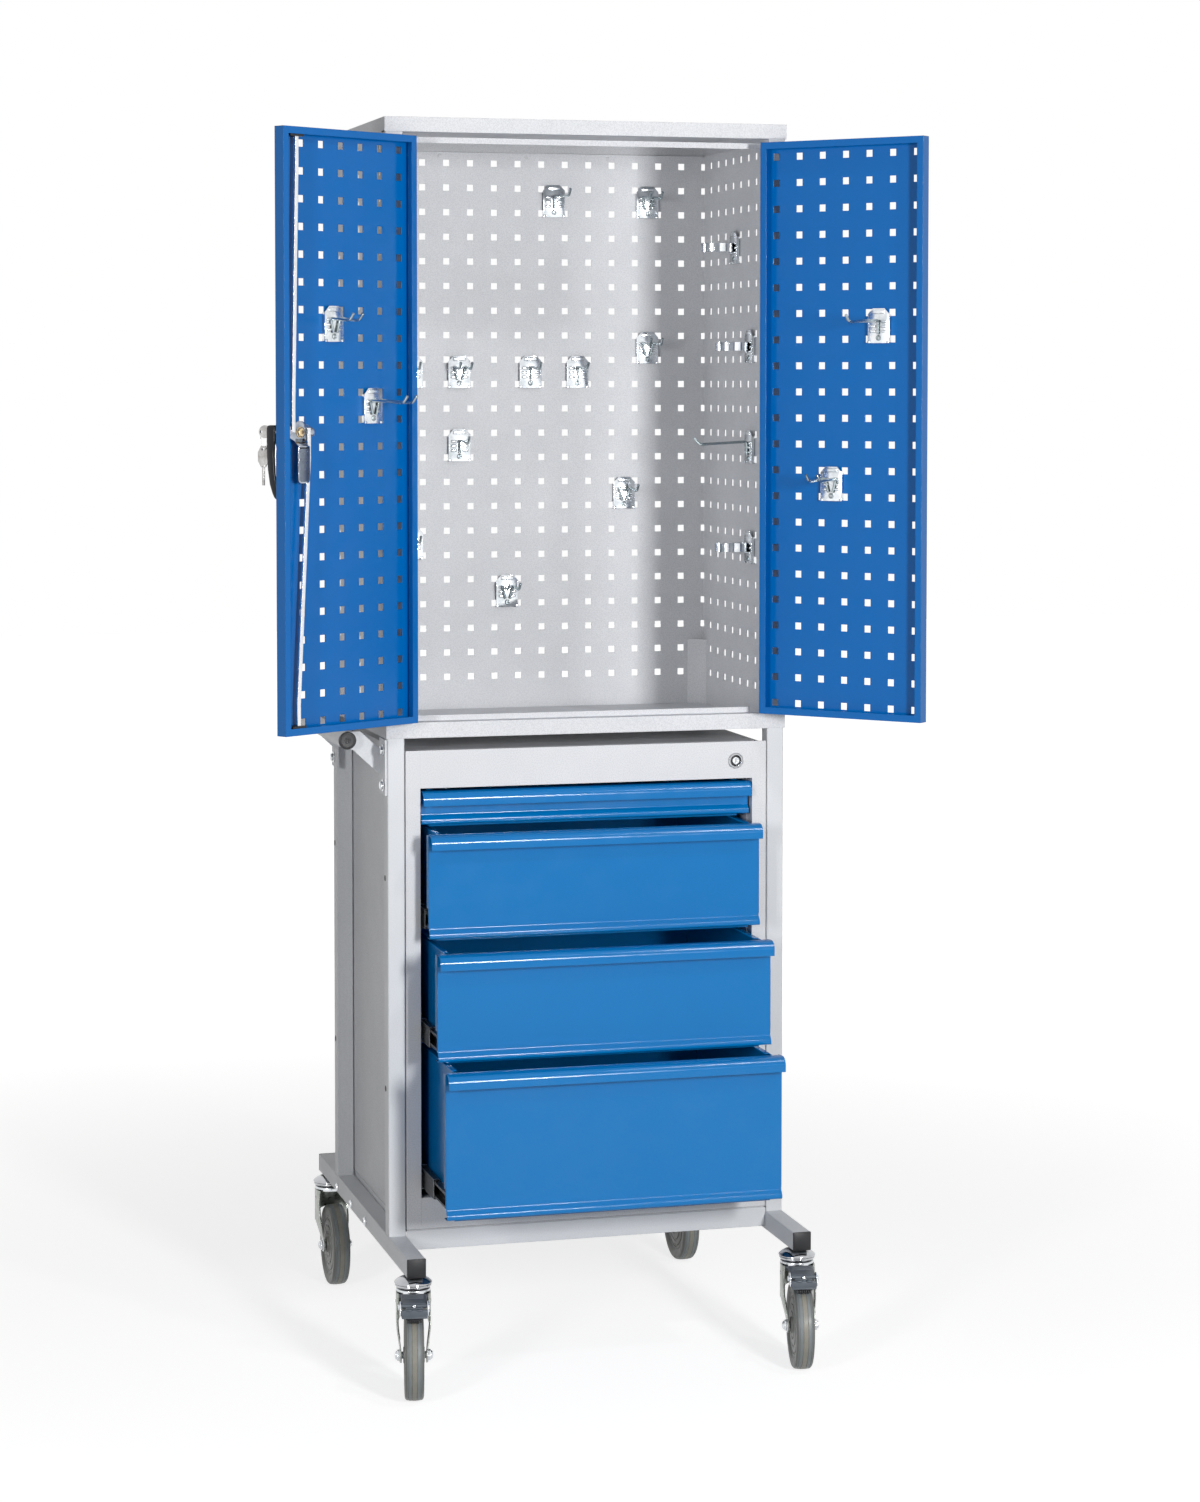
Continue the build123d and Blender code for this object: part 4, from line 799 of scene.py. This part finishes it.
def brake(name, place):
    """Foot pedal: a sloped pad under the cup, steel links with a pin, the release bar and the toothed brake block."""
    body = "brake_" + name
    pad = place @ shift(49.5, 0, 143.2) @ turn("Y", 11)
    mesh = bmesh.new()
    box_in(mesh, span(0, 15), span(0, 18), span(0, 2.2), 1.5, pad, 3)
    box_in(mesh, (13.6, 16.4), span(0, 17.4), (-5.6, 1.4), 1.1, pad, 3)
    for x in (-9, -5, -1):
        box_in(mesh, span(x, 0.8), span(0, 14), (1.6, 2.9), 0.5, pad)
    box_in(mesh, (17, 40), span(0, 9), (139.6, 142.8), 1.0, place)
    pin_in(mesh, place @ Matrix.Translation(PEDAL_AXIS) @ quarter("X"), 3.4, 21.4)
    finished("pedal_pad_" + name, mesh, PEDAL_DARK, body, stands_for=["brake_pedal_" + name])
    mesh = bmesh.new()
    box_in(mesh, (73, 79), span(0, 18.2), (126.2, 136.4), 1.2, place, 3)
    box_in(mesh, (73.4, 80.4), span(0, 17.6), (124.6, 127.4), 0.9, place)
    for y in (-7.5, 7.5):
        box_in(mesh, (70, 80.2), span(y, 4), (134.6, 137.6), 1.2, place)
    box_in(mesh, (64, 74), span(0, 12.5), (129, 138.6), 1.0, place)
    pin_in(mesh, place @ shift(67, 0, 139.4) @ quarter("X"), 2.6, 19)
    finished("pedal_bar_" + name, mesh, PEDAL_GREY, body)
    mesh = bmesh.new()
    for side in (-1, 1):
        link = [(56, 135), (58, 144.5), (66, 146.0), (72, 141.5), (78, 134), (76, 128), (68, 130)]
        stand = place @ shift(0, side * 19.2 + 0.9, 0) @ quarter("X")
        plate_in(mesh, link, 1.8, 0.4, stand)
        rivet = place @ along((67, side * 20.0, 138), (0, side, 0))
        turned_in(mesh, [(0, 0), (4.2, 0), (4.2, 1.6), (3.4, 2.2), (0, 2.4)], rivet, 20)
    pan_screw(mesh, place @ along((74, 0, 140.5), (1, 0, 0.3)), 2.2, 1.4)
    finished("pedal_links_" + name, mesh, HOLDER_ZINC, body)
    mesh = bmesh.new()
    box_in(mesh, (73, 78), span(0, 12), (122.4, 125.4), 0.8, place)
    for y in range(-9, 10, 3):
        box_in(mesh, (75.5, 81), span(y, 1.1), (119.2, 123.4), 0.5, place)
    finished("brake_block_" + name, mesh, BLACK, body)


def casters():
    raceways()
    for name, place in CASTERS.items():
        fork(name, place)
        wheel(name, place)
        if name.startswith("front"):
            brake(name, place)


# ---- Tool holders: Y points out from the wall ----

HOLDER_OFF = 6.0

# Column, row, prongs and their length; no prongs means a spring clamp
BACK_HOLDERS = ((8, 1, 1, 95), (12, 1, 2, 46), (12, 7, 2, 46), (4, 8, 2, 42), (7, 8, 1, 60), (9, 8, 1, 60),
                (2, 8, 1, 60), (4, 11, 1, 60), (11, 13, 2, 42), (2, 15, 1, 60), (6, 17, 2, 42))
SIDE_HOLDERS = ((3, 3, 0, 0), (5, 7, 0, 0), (5, 11, 1, 80), (5, 15, 0, 0))
LEFT_DOOR_HOLDERS = ((3, 6, 2, 40), (1, 9, 2, 70))
RIGHT_DOOR_HOLDERS = ((4, 6, 1, 95), (2, 12, 2, 52))


def holder_plate(mesh, place):
    """Pressed plate on two side flanges, with chamfered shoulders, four lugs and a pierced ear."""
    off = HOLDER_OFF
    stand = place @ shift(0, off, 0) @ quarter("X")
    face = [(-17.5, -24), (-16, -25), (16, -25), (17.5, -24), (17.5, 16.5), (9.5, 25), (-9.5, 25), (-17.5, 16.5)]
    plate_in(mesh, face, SHEET, 0.3, stand)
    for side in (-1, 1):
        box_in(mesh, span(side * 16.9, 0.6), (0.02, off - 0.2), (-24, 16), 0.2, place)
        for z in (6.0, -1.0, -8.0):
            box_in(mesh, span(side * 9, 4.6), (off - 0.8, off + 1.7), span(z, 1.7), 0.95, place, 3)
        box_in(mesh, span(side * 15.6, 2.2), (0.1, off + 1.0), (-25, -21.5), 0.5, place)
    box_in(mesh, span(0, 10), (off - 0.8, off + 1.0), (17.5, 22.5), 0.8, place, 3)


def holder_ear(mesh, place):
    """Rolled eye at the foot of the plate, open towards one side."""
    ring = place @ shift(0, HOLDER_OFF - 0.2, -17.5) @ quarter("X", -1)
    turned_in(mesh, [(1.7, 0), (1.8, 1.1), (2.8, 1.6), (3.8, 1.1), (4.1, 0)], ring, 24)


def holder_wire(mesh, place, prongs, length):
    """Wire leg down the plate, bent out into the prong with its tip turned up."""
    out = HOLDER_OFF + 1.6
    far = out + length * 0.94
    for x in (0,) if prongs == 1 else (-9, 9):
        points = [(x - x * 0.6, out, -12), (x, out, 8), (x, far, 4), (x, far + 8.5, 14)]
        wire_in(mesh, points, 2.1, 12, place, 5.0)


def clamp_strip(mesh, place, side):
    """One jaw of a spring clamp: a polished strip that swells, narrows, ripples and flares at the mouth."""
    path = [(0.8, 0.9), (5.5, 1.4), (8.6, 4.6), (10.4, 9), (10.9, 13.5), (9.8, 18), (7.4, 21.8), (6.2, 25), (7.2, 28),
            (8.8, 31), (8.6, 34), (6.8, 36.8), (5.4, 39.4), (5.8, 42), (8.2, 45.2), (11.4, 48)]
    moved(mesh, strip_in(mesh, [(side * x, HOLDER_OFF + y, -6.5) for x, y in path], (0, 0, 13)), place)


def holders():
    def back(column, row):
        at = (BACK_FIRST_COLUMN + PITCH * (column + 0.5), BACK_FACE, GRID_TOP - PITCH * (row + 0.5))
        return Matrix.Translation(at) @ quarter("Z", 2)

    def side(column, row):
        at = (WALL_X - SHEET, SIDE_FIRST_COLUMN - PITCH * (column + 0.5), GRID_TOP - PITCH * (row + 0.5))
        return Matrix.Translation(at) @ quarter("Z")

    def door(place, margin):
        def at(column, row):
            u = HINGE_EDGE + margin + PITCH * (column + 0.5)
            return place @ shift(u, SKIN_IN, DOOR_TOP - DOOR_TOP_MARGIN - PITCH * (row + 0.5))
        return at

    groups = (
        ("wall", "cabinet", ((back, BACK_HOLDERS), (side, SIDE_HOLDERS))),
        ("left_door", "left_door", ((door(LEFT_DOOR, LEFT_DOOR_MARGIN), LEFT_DOOR_HOLDERS),)),
        ("right_door", "right_door", ((door(RIGHT_DOOR, RIGHT_DOOR_MARGIN), RIGHT_DOOR_HOLDERS),)),
    )
    for name, body, walls in groups:
        plates = bmesh.new()
        wires = bmesh.new()
        for place, cells in walls:
            for column, row, prongs, length in cells:
                at = place(column, row)
                holder_plate(plates, at)
                holder_ear(wires, at)
                if prongs:
                    holder_wire(wires, at, prongs, length)
        finished(name + "_holder_plates", plates, HOLDER_ZINC, body, stands_for=[name + "_holders"])
        finished(name + "_holder_wires", wires, PRONG_STEEL, body, stands_for=[name + "_holders"])
    jaws = bmesh.new()
    for column, row, prongs, _ in SIDE_HOLDERS:
        if not prongs:
            for hand in (-1, 1):
                clamp_strip(jaws, side(column, row), hand)
    finished("wall_clamp_jaws", jaws, HOLDER_ZINC, "cabinet", stands_for=["wall_holders"], thickness=0.9,
             sharp=60)


# ---- Lock of the left door: X towards the free edge, Y inwards ----

LEVER_BACK = SKIN_OUT - 28.0
LEVER_FACE = LEVER_BACK - 17.0
LEVER_TOP = LOCK_Z + 9.5
LEVER_LENGTH = 103.0
LEVER_WIDTH = 22
TO_SIDE_VIEW = quarter("Y") @ quarter("Z")
KEY_SHEET = 2.0
BOW_V = LEVER_FACE - 13.2
RING_STEPS = 28


def lock_places(v):
    """Shape turned about Z, laid along Y through the lock's centre."""
    return LEFT_DOOR @ shift(LOCK_U, v, LOCK_Z) @ quarter("X", -1)


def lever():
    """Moulded grip with a crowned back, its neck and the shaft through the door."""
    low = LEVER_TOP - LEVER_LENGTH
    from_face = ((4, LEVER_TOP), (1, LEVER_TOP - 1.5), (0, LEVER_TOP - 5), (0, LEVER_TOP - 22), (0.6, low + 58),
                 (2.2, low + 41), (6, low + 21))
    from_back = ((-6, low + 9), (-2.5, low + 3), (1.5, low), (5.4, low + 2), (5.6, low + 8), (3.6, low + 17),
                 (-1, low + 36), (-3, low + 66), (0, LEVER_TOP - 22))
    outline = [(LEVER_BACK, LEVER_TOP)] + [(LEVER_FACE + v, z) for v, z in from_face]
    outline += [(LEVER_BACK + v, z) for v, z in from_back]
    mesh = bmesh.new()
    stand = LEFT_DOOR @ shift(LOCK_U - LEVER_WIDTH / 2, 0, 0) @ TO_SIDE_VIEW
    plate_in(mesh, outline, LEVER_WIDTH, 2.2, stand, 3)
    finished("lever_grip", mesh, LEVER_BLACK, "lock_handle", stands_for=["lock_lever"])
    mesh = bmesh.new()
    neck = [(0, LEVER_BACK - 2), (9.0, LEVER_BACK - 2), (9.5, LEVER_BACK + 1), (9.5, -6), (10.4, -4), (10.4, 0.6),
            (0, 0.6)]
    turned_in(mesh, neck, lock_places(0), 32)
    turned_in(mesh, [(0, 0), (5, 0), (5, 14.0), (0, 14.0)], lock_places(0), 20)
    box_in(mesh, span(LOCK_U, 8.6), (LEVER_BACK - 3.4, LEVER_BACK - 0.2), (LOCK_Z - 62, LOCK_Z - 16), 1.2,
           LEFT_DOOR @ shift(0, 0.6, 0), 3)
    finished("lever_neck", mesh, CHROME, "lock_handle", stands_for=["lock_lever"])
    mesh = bmesh.new()
    ring = [(5.3, 1.2), (5.3, 0.8), (14.6, 0.8), (15.8, 1.4), (16.6, 2.6), (17.0, 4.0), (5.3, 4.0), (5.3, 1.2)]
    turned_in(mesh, ring, lock_places(0), 48)
    finished("rosette_ring", mesh, CHROME, "left_door", stands_for=["lock_rosette"])
    mesh = bmesh.new()
    dish = [(0, 12.6), (0.25, 12.4), (0.5, 11.6), (0.7, 9.8), (0.84, 7.2), (0.9, 4.4), (0.92, 2.2), (1.0, 1.2),
            (1.0, 0.05), (0, 0.05)]
    verts = turned_in(mesh, dish, steps=64)
    bmesh.ops.scale(mesh, vec=(19, 36, 1), verts=verts)
    moved(mesh, verts, LEFT_DOOR @ shift(LOCK_U, SKIN_OUT, LOCK_Z - 46) @ quarter("X"))
    finished("lever_escutcheon", mesh, CHROME, "left_door")


def key_bow(mesh, place, long, tall, sides, hole):
    """Flat bow of a key with its hole."""
    def ring(x, wide, high):
        turns = [tau * (i + 0.5) / sides for i in range(sides)]
        return [mesh.verts.new((x + wide * cos(a), high * sin(a), 0)) for a in turns]
    outer = ring(0, long / 2, tall / 2)
    inner = ring(hole, 2.4, 2.4)
    rims = [mesh.edges.new((loop[i], loop[(i + 1) % sides])) for loop in (outer, inner) for i in range(sides)]
    faces = bmesh.ops.bridge_loops(mesh, edges=rims)["faces"]
    top = shifted(mesh, bmesh.ops.extrude_face_region(mesh, geom=faces), (0, 0, KEY_SHEET))
    moved(mesh, outer + inner + top, place)


def keys():
    """Barrel with its key, the ring through the bow and the spare key that hangs from it."""
    mesh = bmesh.new()
    barrel = lock_places(LEVER_FACE)
    turned_in(mesh, [(0, 0), (5.6, 0), (6.0, 0.4), (6.0, 14.0), (0, 14.0)], barrel, 32)
    turned_in(mesh, [(4.4, 0.4), (4.4, -1.2), (7.4, -1.2), (7.8, -0.6), (7.8, 0.4)], barrel, 32)
    upright = shift(LOCK_U - KEY_SHEET / 2, BOW_V, LOCK_Z) @ TO_SIDE_VIEW
    key_bow(mesh, LEFT_DOOR @ upright, 24, 18, 32, -7.4)
    box_in(mesh, span(LOCK_U, KEY_SHEET / 2), (BOW_V + 9, LEVER_FACE + 1), span(LOCK_Z, 3), 0.3, LEFT_DOOR)
    hang = LEFT_DOOR @ shift(LOCK_U, BOW_V - 4.0, LOCK_Z - 34.5) @ turn("Z", 17)
    key_bow(mesh, hang @ quarter("Y") @ shift(0, 0, -KEY_SHEET / 2), 32, 18, 8, -10.0)
    box_in(mesh, span(0, KEY_SHEET / 2), span(0, 1.9), (-40, -13), 0.3, hang)
    finished("keys", mesh, KEY_NICKEL, "key", stands_for=["lock_key"])
    mesh = bmesh.new()
    turns = [tau * i / RING_STEPS for i in range(RING_STEPS + 1)]
    ring = [(LOCK_U, BOW_V - 3.0 + 7 * sin(a), LOCK_Z - 13 + 12.5 * cos(a)) for a in turns]
    wire_in(mesh, ring, 0.55, 8, LEFT_DOOR)
    finished("key_ring", mesh, KEY_NICKEL, "key")


def cam():
    """Cam plate with its pins, the pressed tongue with a raised rim, and the screw that holds it."""
    v = SKIN_IN + 9.0
    mesh = bmesh.new()
    stand = LEFT_DOOR @ shift(LOCK_U, v + 2, LOCK_Z) @ quarter("X")
    plate = [(-27, -4), (-27, 4), (-4, 15.5), (4, 15.5), (27, 4), (27, -4), (4, -15.5), (-4, -15.5)]
    plate_in(mesh, plate, 2.0, 0.4, stand)
    for u in (-21, 21):
        pin = LEFT_DOOR @ along((LOCK_U + u, v + 2, LOCK_Z), (0, 1, 0))
        turned_in(mesh, [(0, 0), (4.0, 0), (4.0, 2.2), (3.2, 2.8), (0, 2.8)], pin, 20)
    level = SKIN_OUT + DOOR_DEPTH + 0.6
    knee = LOCK_Z - 20.5
    path = [(v + 1, LOCK_Z - 9), (v + 1, LOCK_Z - 13), (level + 1, knee), (level + 1, knee - 3)]
    for (v0, z0), (v1, z1) in zip(path, path[1:]):
        run = Vector((0, v1 - v0, z1 - z0))
        box_in(mesh, span(0, 9.5), span(0, 1), (-0.4, run.length + 0.4), 0.4, LEFT_DOOR @ along((LOCK_U, v0, z0), run))
    low = LOCK_Z - 70
    blade = shift(LOCK_U, level + 2, 0) @ quarter("X")
    outline = [(-11, knee), (-11, low + 5), (-9.4, low + 1.4), (-6, low), (6, low), (9.4, low + 1.4), (11, low + 5),
               (11, knee), (9.5, knee + 2), (-9.5, knee + 2)]
    plate_in(mesh, outline, 2.0, 0.4, LEFT_DOOR @ blade)
    finished("cam_plate", mesh, CAM_STEEL, "lock_handle", stands_for=["lock_cam"])
    mesh = bmesh.new()
    inset = [(-9.2, knee - 2), (-9.2, low + 5), (-6, low + 2), (6, low + 2), (9.2, low + 5), (9.2, knee - 2)]
    plate_in(mesh, inset, 0.5, 0.2, LEFT_DOOR @ shift(0, 0.4, 0) @ blade)
    finished("tongue_face", mesh, DARK_STEEL, "lock_handle")
    mesh = bmesh.new()
    head = LEFT_DOOR @ along((LOCK_U, v + 2, LOCK_Z), (0, 1, 0))
    screw = [(0, 0), (7.6, 0), (7.6, 0.9), (6.6, 1.2), (6.4, 3.2), (5.6, 4.4), (3.2, 5.0), (2.6, 5.0), (2.3, 3.2),
             (0, 3.2)]
    turned_in(mesh, screw, head, 32)
    finished("cam_screw", mesh, BRASS, "lock_handle")


# ---- Drawer unit ----

DRAWER_LOCK_X = 224.9
DRAWER_LOCK_Z = 868.7


def drawer_lock():
    """Polished housing and plug, with black pieces that stand for the painted shade in the groove round the plug and
    in its keyway.
    """
    face = along((DRAWER_LOCK_X, FRONT, DRAWER_LOCK_Z), (0, -1, 0))
    mesh = bmesh.new()
    housing = [(7.3, -22), (9, -22), (9, 0), (11.6, 0), (11.6, 1.0), (10.8, 2.2), (9.6, 2.6), (8.4, 2.2), (7.3, 0.8),
               (7.3, -22)]
    turned_in(mesh, housing, face, 48)
    finished("lock_housing_ring", mesh, CHROME, "cabinet", stands_for=["drawer_lock_housing"])
    mesh = bmesh.new()
    plug = [(0, -22), (7, -22), (7, 0.2), (5.6, 0.2), (5.4, 1.6), (4.8, 2.1), (3.6, 2.1), (3.2, 1.4), (0, 1.4)]
    turned_in(mesh, plug, face, 40)
    finished("lock_plug_face", mesh, ZINC, "drawer_lock", stands_for=["drawer_lock_plug"])
    mesh = bmesh.new()
    # Painted shade: a black bar in the keyway and a black ring in the groove round the plug
    box_in(mesh, span(0, 0.6), span(0, 2.6), (1.0, 1.65), 0.2, face)
    turned_in(mesh, [(5.6, 0.3), (6.9, 0.3), (6.9, 0.5), (5.6, 0.5), (5.6, 0.3)], face, 40)
    finished("lock_keyway_and_groove_shade", mesh, BLACK, "drawer_lock")


def slide_fittings():
    """Screws and the ends of the ball cages, which show on the pulled slides."""
    for number, (bottom, _, out) in enumerate(DRAWERS, 1):
        z = bottom + SLIDE_RISE
        mesh = bmesh.new()
        for side in (-1, 1):
            for y in (8.0, 34.0, 98.0, 194.0):
                pan_screw(mesh, along((side * 236.5, SLIDE_START - out + y, z), (side, 0, 0)), 2.8, 1.6)
        finished(f"slide_screws_{number}", mesh, HOLDER_ZINC, f"drawer_{number}_body")
        mesh = bmesh.new()
        start = SLIDE_START - out / 2
        for side in (-1, 1):
            for high in (-1, 1):
                box_in(mesh, span(side * 242.2, 1.8), (start - 0.7, start + 5), span(z + high * 12.85, 1.55), 0.3)
        finished(f"cage_ends_{number}", mesh, BLACK, f"slide_{number}_middle")


# ---- Cabinet ----


def panel_fasteners():
    """Blind rivets along the head of the back panel."""
    mesh = bmesh.new()
    for x in (-131.5, 7.0, 138.0):
        turned_in(mesh, [(0, 1.2), (1.2, 1.3), (2.6, 0.9), (3.2, 0)], along((x, BACK_FACE, 1776.0), (0, -1, 0)), 20)
    finished("panel_rivets", mesh, GREY, "cabinet")


frame_bolts()
end_caps()
casters()
holders()
lever()
keys()
cam()
drawer_lock()
slide_fittings()
panel_fasteners()


# ---- Studio ----

VIEW_DOWN = 2.848
VIEW_LEFT = 15.225


def studio_floor():
    """Pale matt floor that brightens to the white of the backdrop away from the object and keeps its shadow."""
    mesh = bmesh.new()
    bmesh.ops.create_grid(mesh, x_segments=1, y_segments=1, size=14)
    data = bpy.data.meshes.new("studio_floor")
    mesh.to_mesh(data)
    mesh.free()
    floor = placed("studio_floor", data)
    finish = Finish("studio_floor")
    finish.set(Base_Color=(0.45, 0.45, 0.45, 1), Specular_IOR_Level=0.1, Emission_Color=(1, 1, 1, 1))
    finish.rough(finish.noise(2.0), 0.82, 0.9)
    reach = finish.add("ShaderNodeVectorMath", operation="LENGTH")
    finish.feed(reach.inputs[0], finish.place)
    fade = finish.add("ShaderNodeMapRange", interpolation_type="SMOOTHSTEP", From_Min=0.6, From_Max=3.2, To_Min=0.76,
                      To_Max=1.0, Value=reach.outputs["Value"])
    glow = finish.add("ShaderNodeMath", operation="MULTIPLY")
    finish.feed(glow.inputs[0], seen_white(finish))
    finish.feed(glow.inputs[1], fade.outputs["Result"])
    finish.set(Emission_Strength=glow.outputs["Value"])
    data.materials.append(finish.material)


def seen_white(wiring):
    """One for what the camera, a reflection or glass looks at, and nothing for light that falls on the object."""
    path = wiring.add("ShaderNodeLightPath")
    total = path.outputs["Is Camera Ray"]
    for ray in ("Is Glossy Ray", "Is Transmission Ray"):
        both = wiring.add("ShaderNodeMath", operation="MAXIMUM")
        wiring.feed(both.inputs[0], total)
        wiring.feed(both.inputs[1], path.outputs[ray])
        total = both.outputs["Value"]
    return total


def backdrop():
    world = bpy.data.worlds.new("studio")
    bpy.context.scene.world = world
    world.use_nodes = True
    wiring = Wiring(world.node_tree)
    reach = wiring.add("ShaderNodeMapRange", To_Min=0.1, To_Max=1.0, Value=seen_white(wiring))
    background = world.node_tree.nodes["Background"]
    background.inputs["Color"].default_value = (1, 1, 1, 1)
    wiring.feed(background.inputs["Strength"], reach.outputs["Result"])


def softboxes():
    for name, at, aim, wide, deep, power in (
        ("key_light", (0.73, -3.92, 1.5), (0, 0, 1.2), 0.4, 0.8, 96),
        ("left_light", (-2.68, -2.97, 1.5), (0, 0, 1.2), 0.5, 1.2, 45),
        ("high_light", (1.44, -2.7, 3.6), (0, 0, 0.8), 0.25, 0.25, 16),
    ):
        lamp = bpy.data.lights.new(name, "AREA")
        lamp.shape = "RECTANGLE"
        lamp.size = wide
        lamp.size_y = deep
        lamp.energy = power
        light = placed(name, lamp)
        light.location = at
        light.rotation_euler = (Vector(aim) - Vector(at)).to_track_quat("-Z", "Y").to_euler()


def camera():
    """Stands at the viewing angle: 15.2 degrees to the left of the front and 2.8 degrees downwards."""
    data = bpy.data.cameras.new("camera")
    data.lens = 79.94
    data.shift_x = 0.0075
    data.shift_y = -0.1352
    data.clip_end = 60
    eye = placed("camera", data)
    eye.location = TO_METRES @ Vector((-1269.9, -4872.5, 1426.2))
    eye.rotation_euler = (radians(90 - VIEW_DOWN), 0, radians(-VIEW_LEFT))
    bpy.context.scene.camera = eye


studio_floor()
backdrop()
softboxes()
camera()
bpy.context.scene.view_settings.view_transform = "Standard"
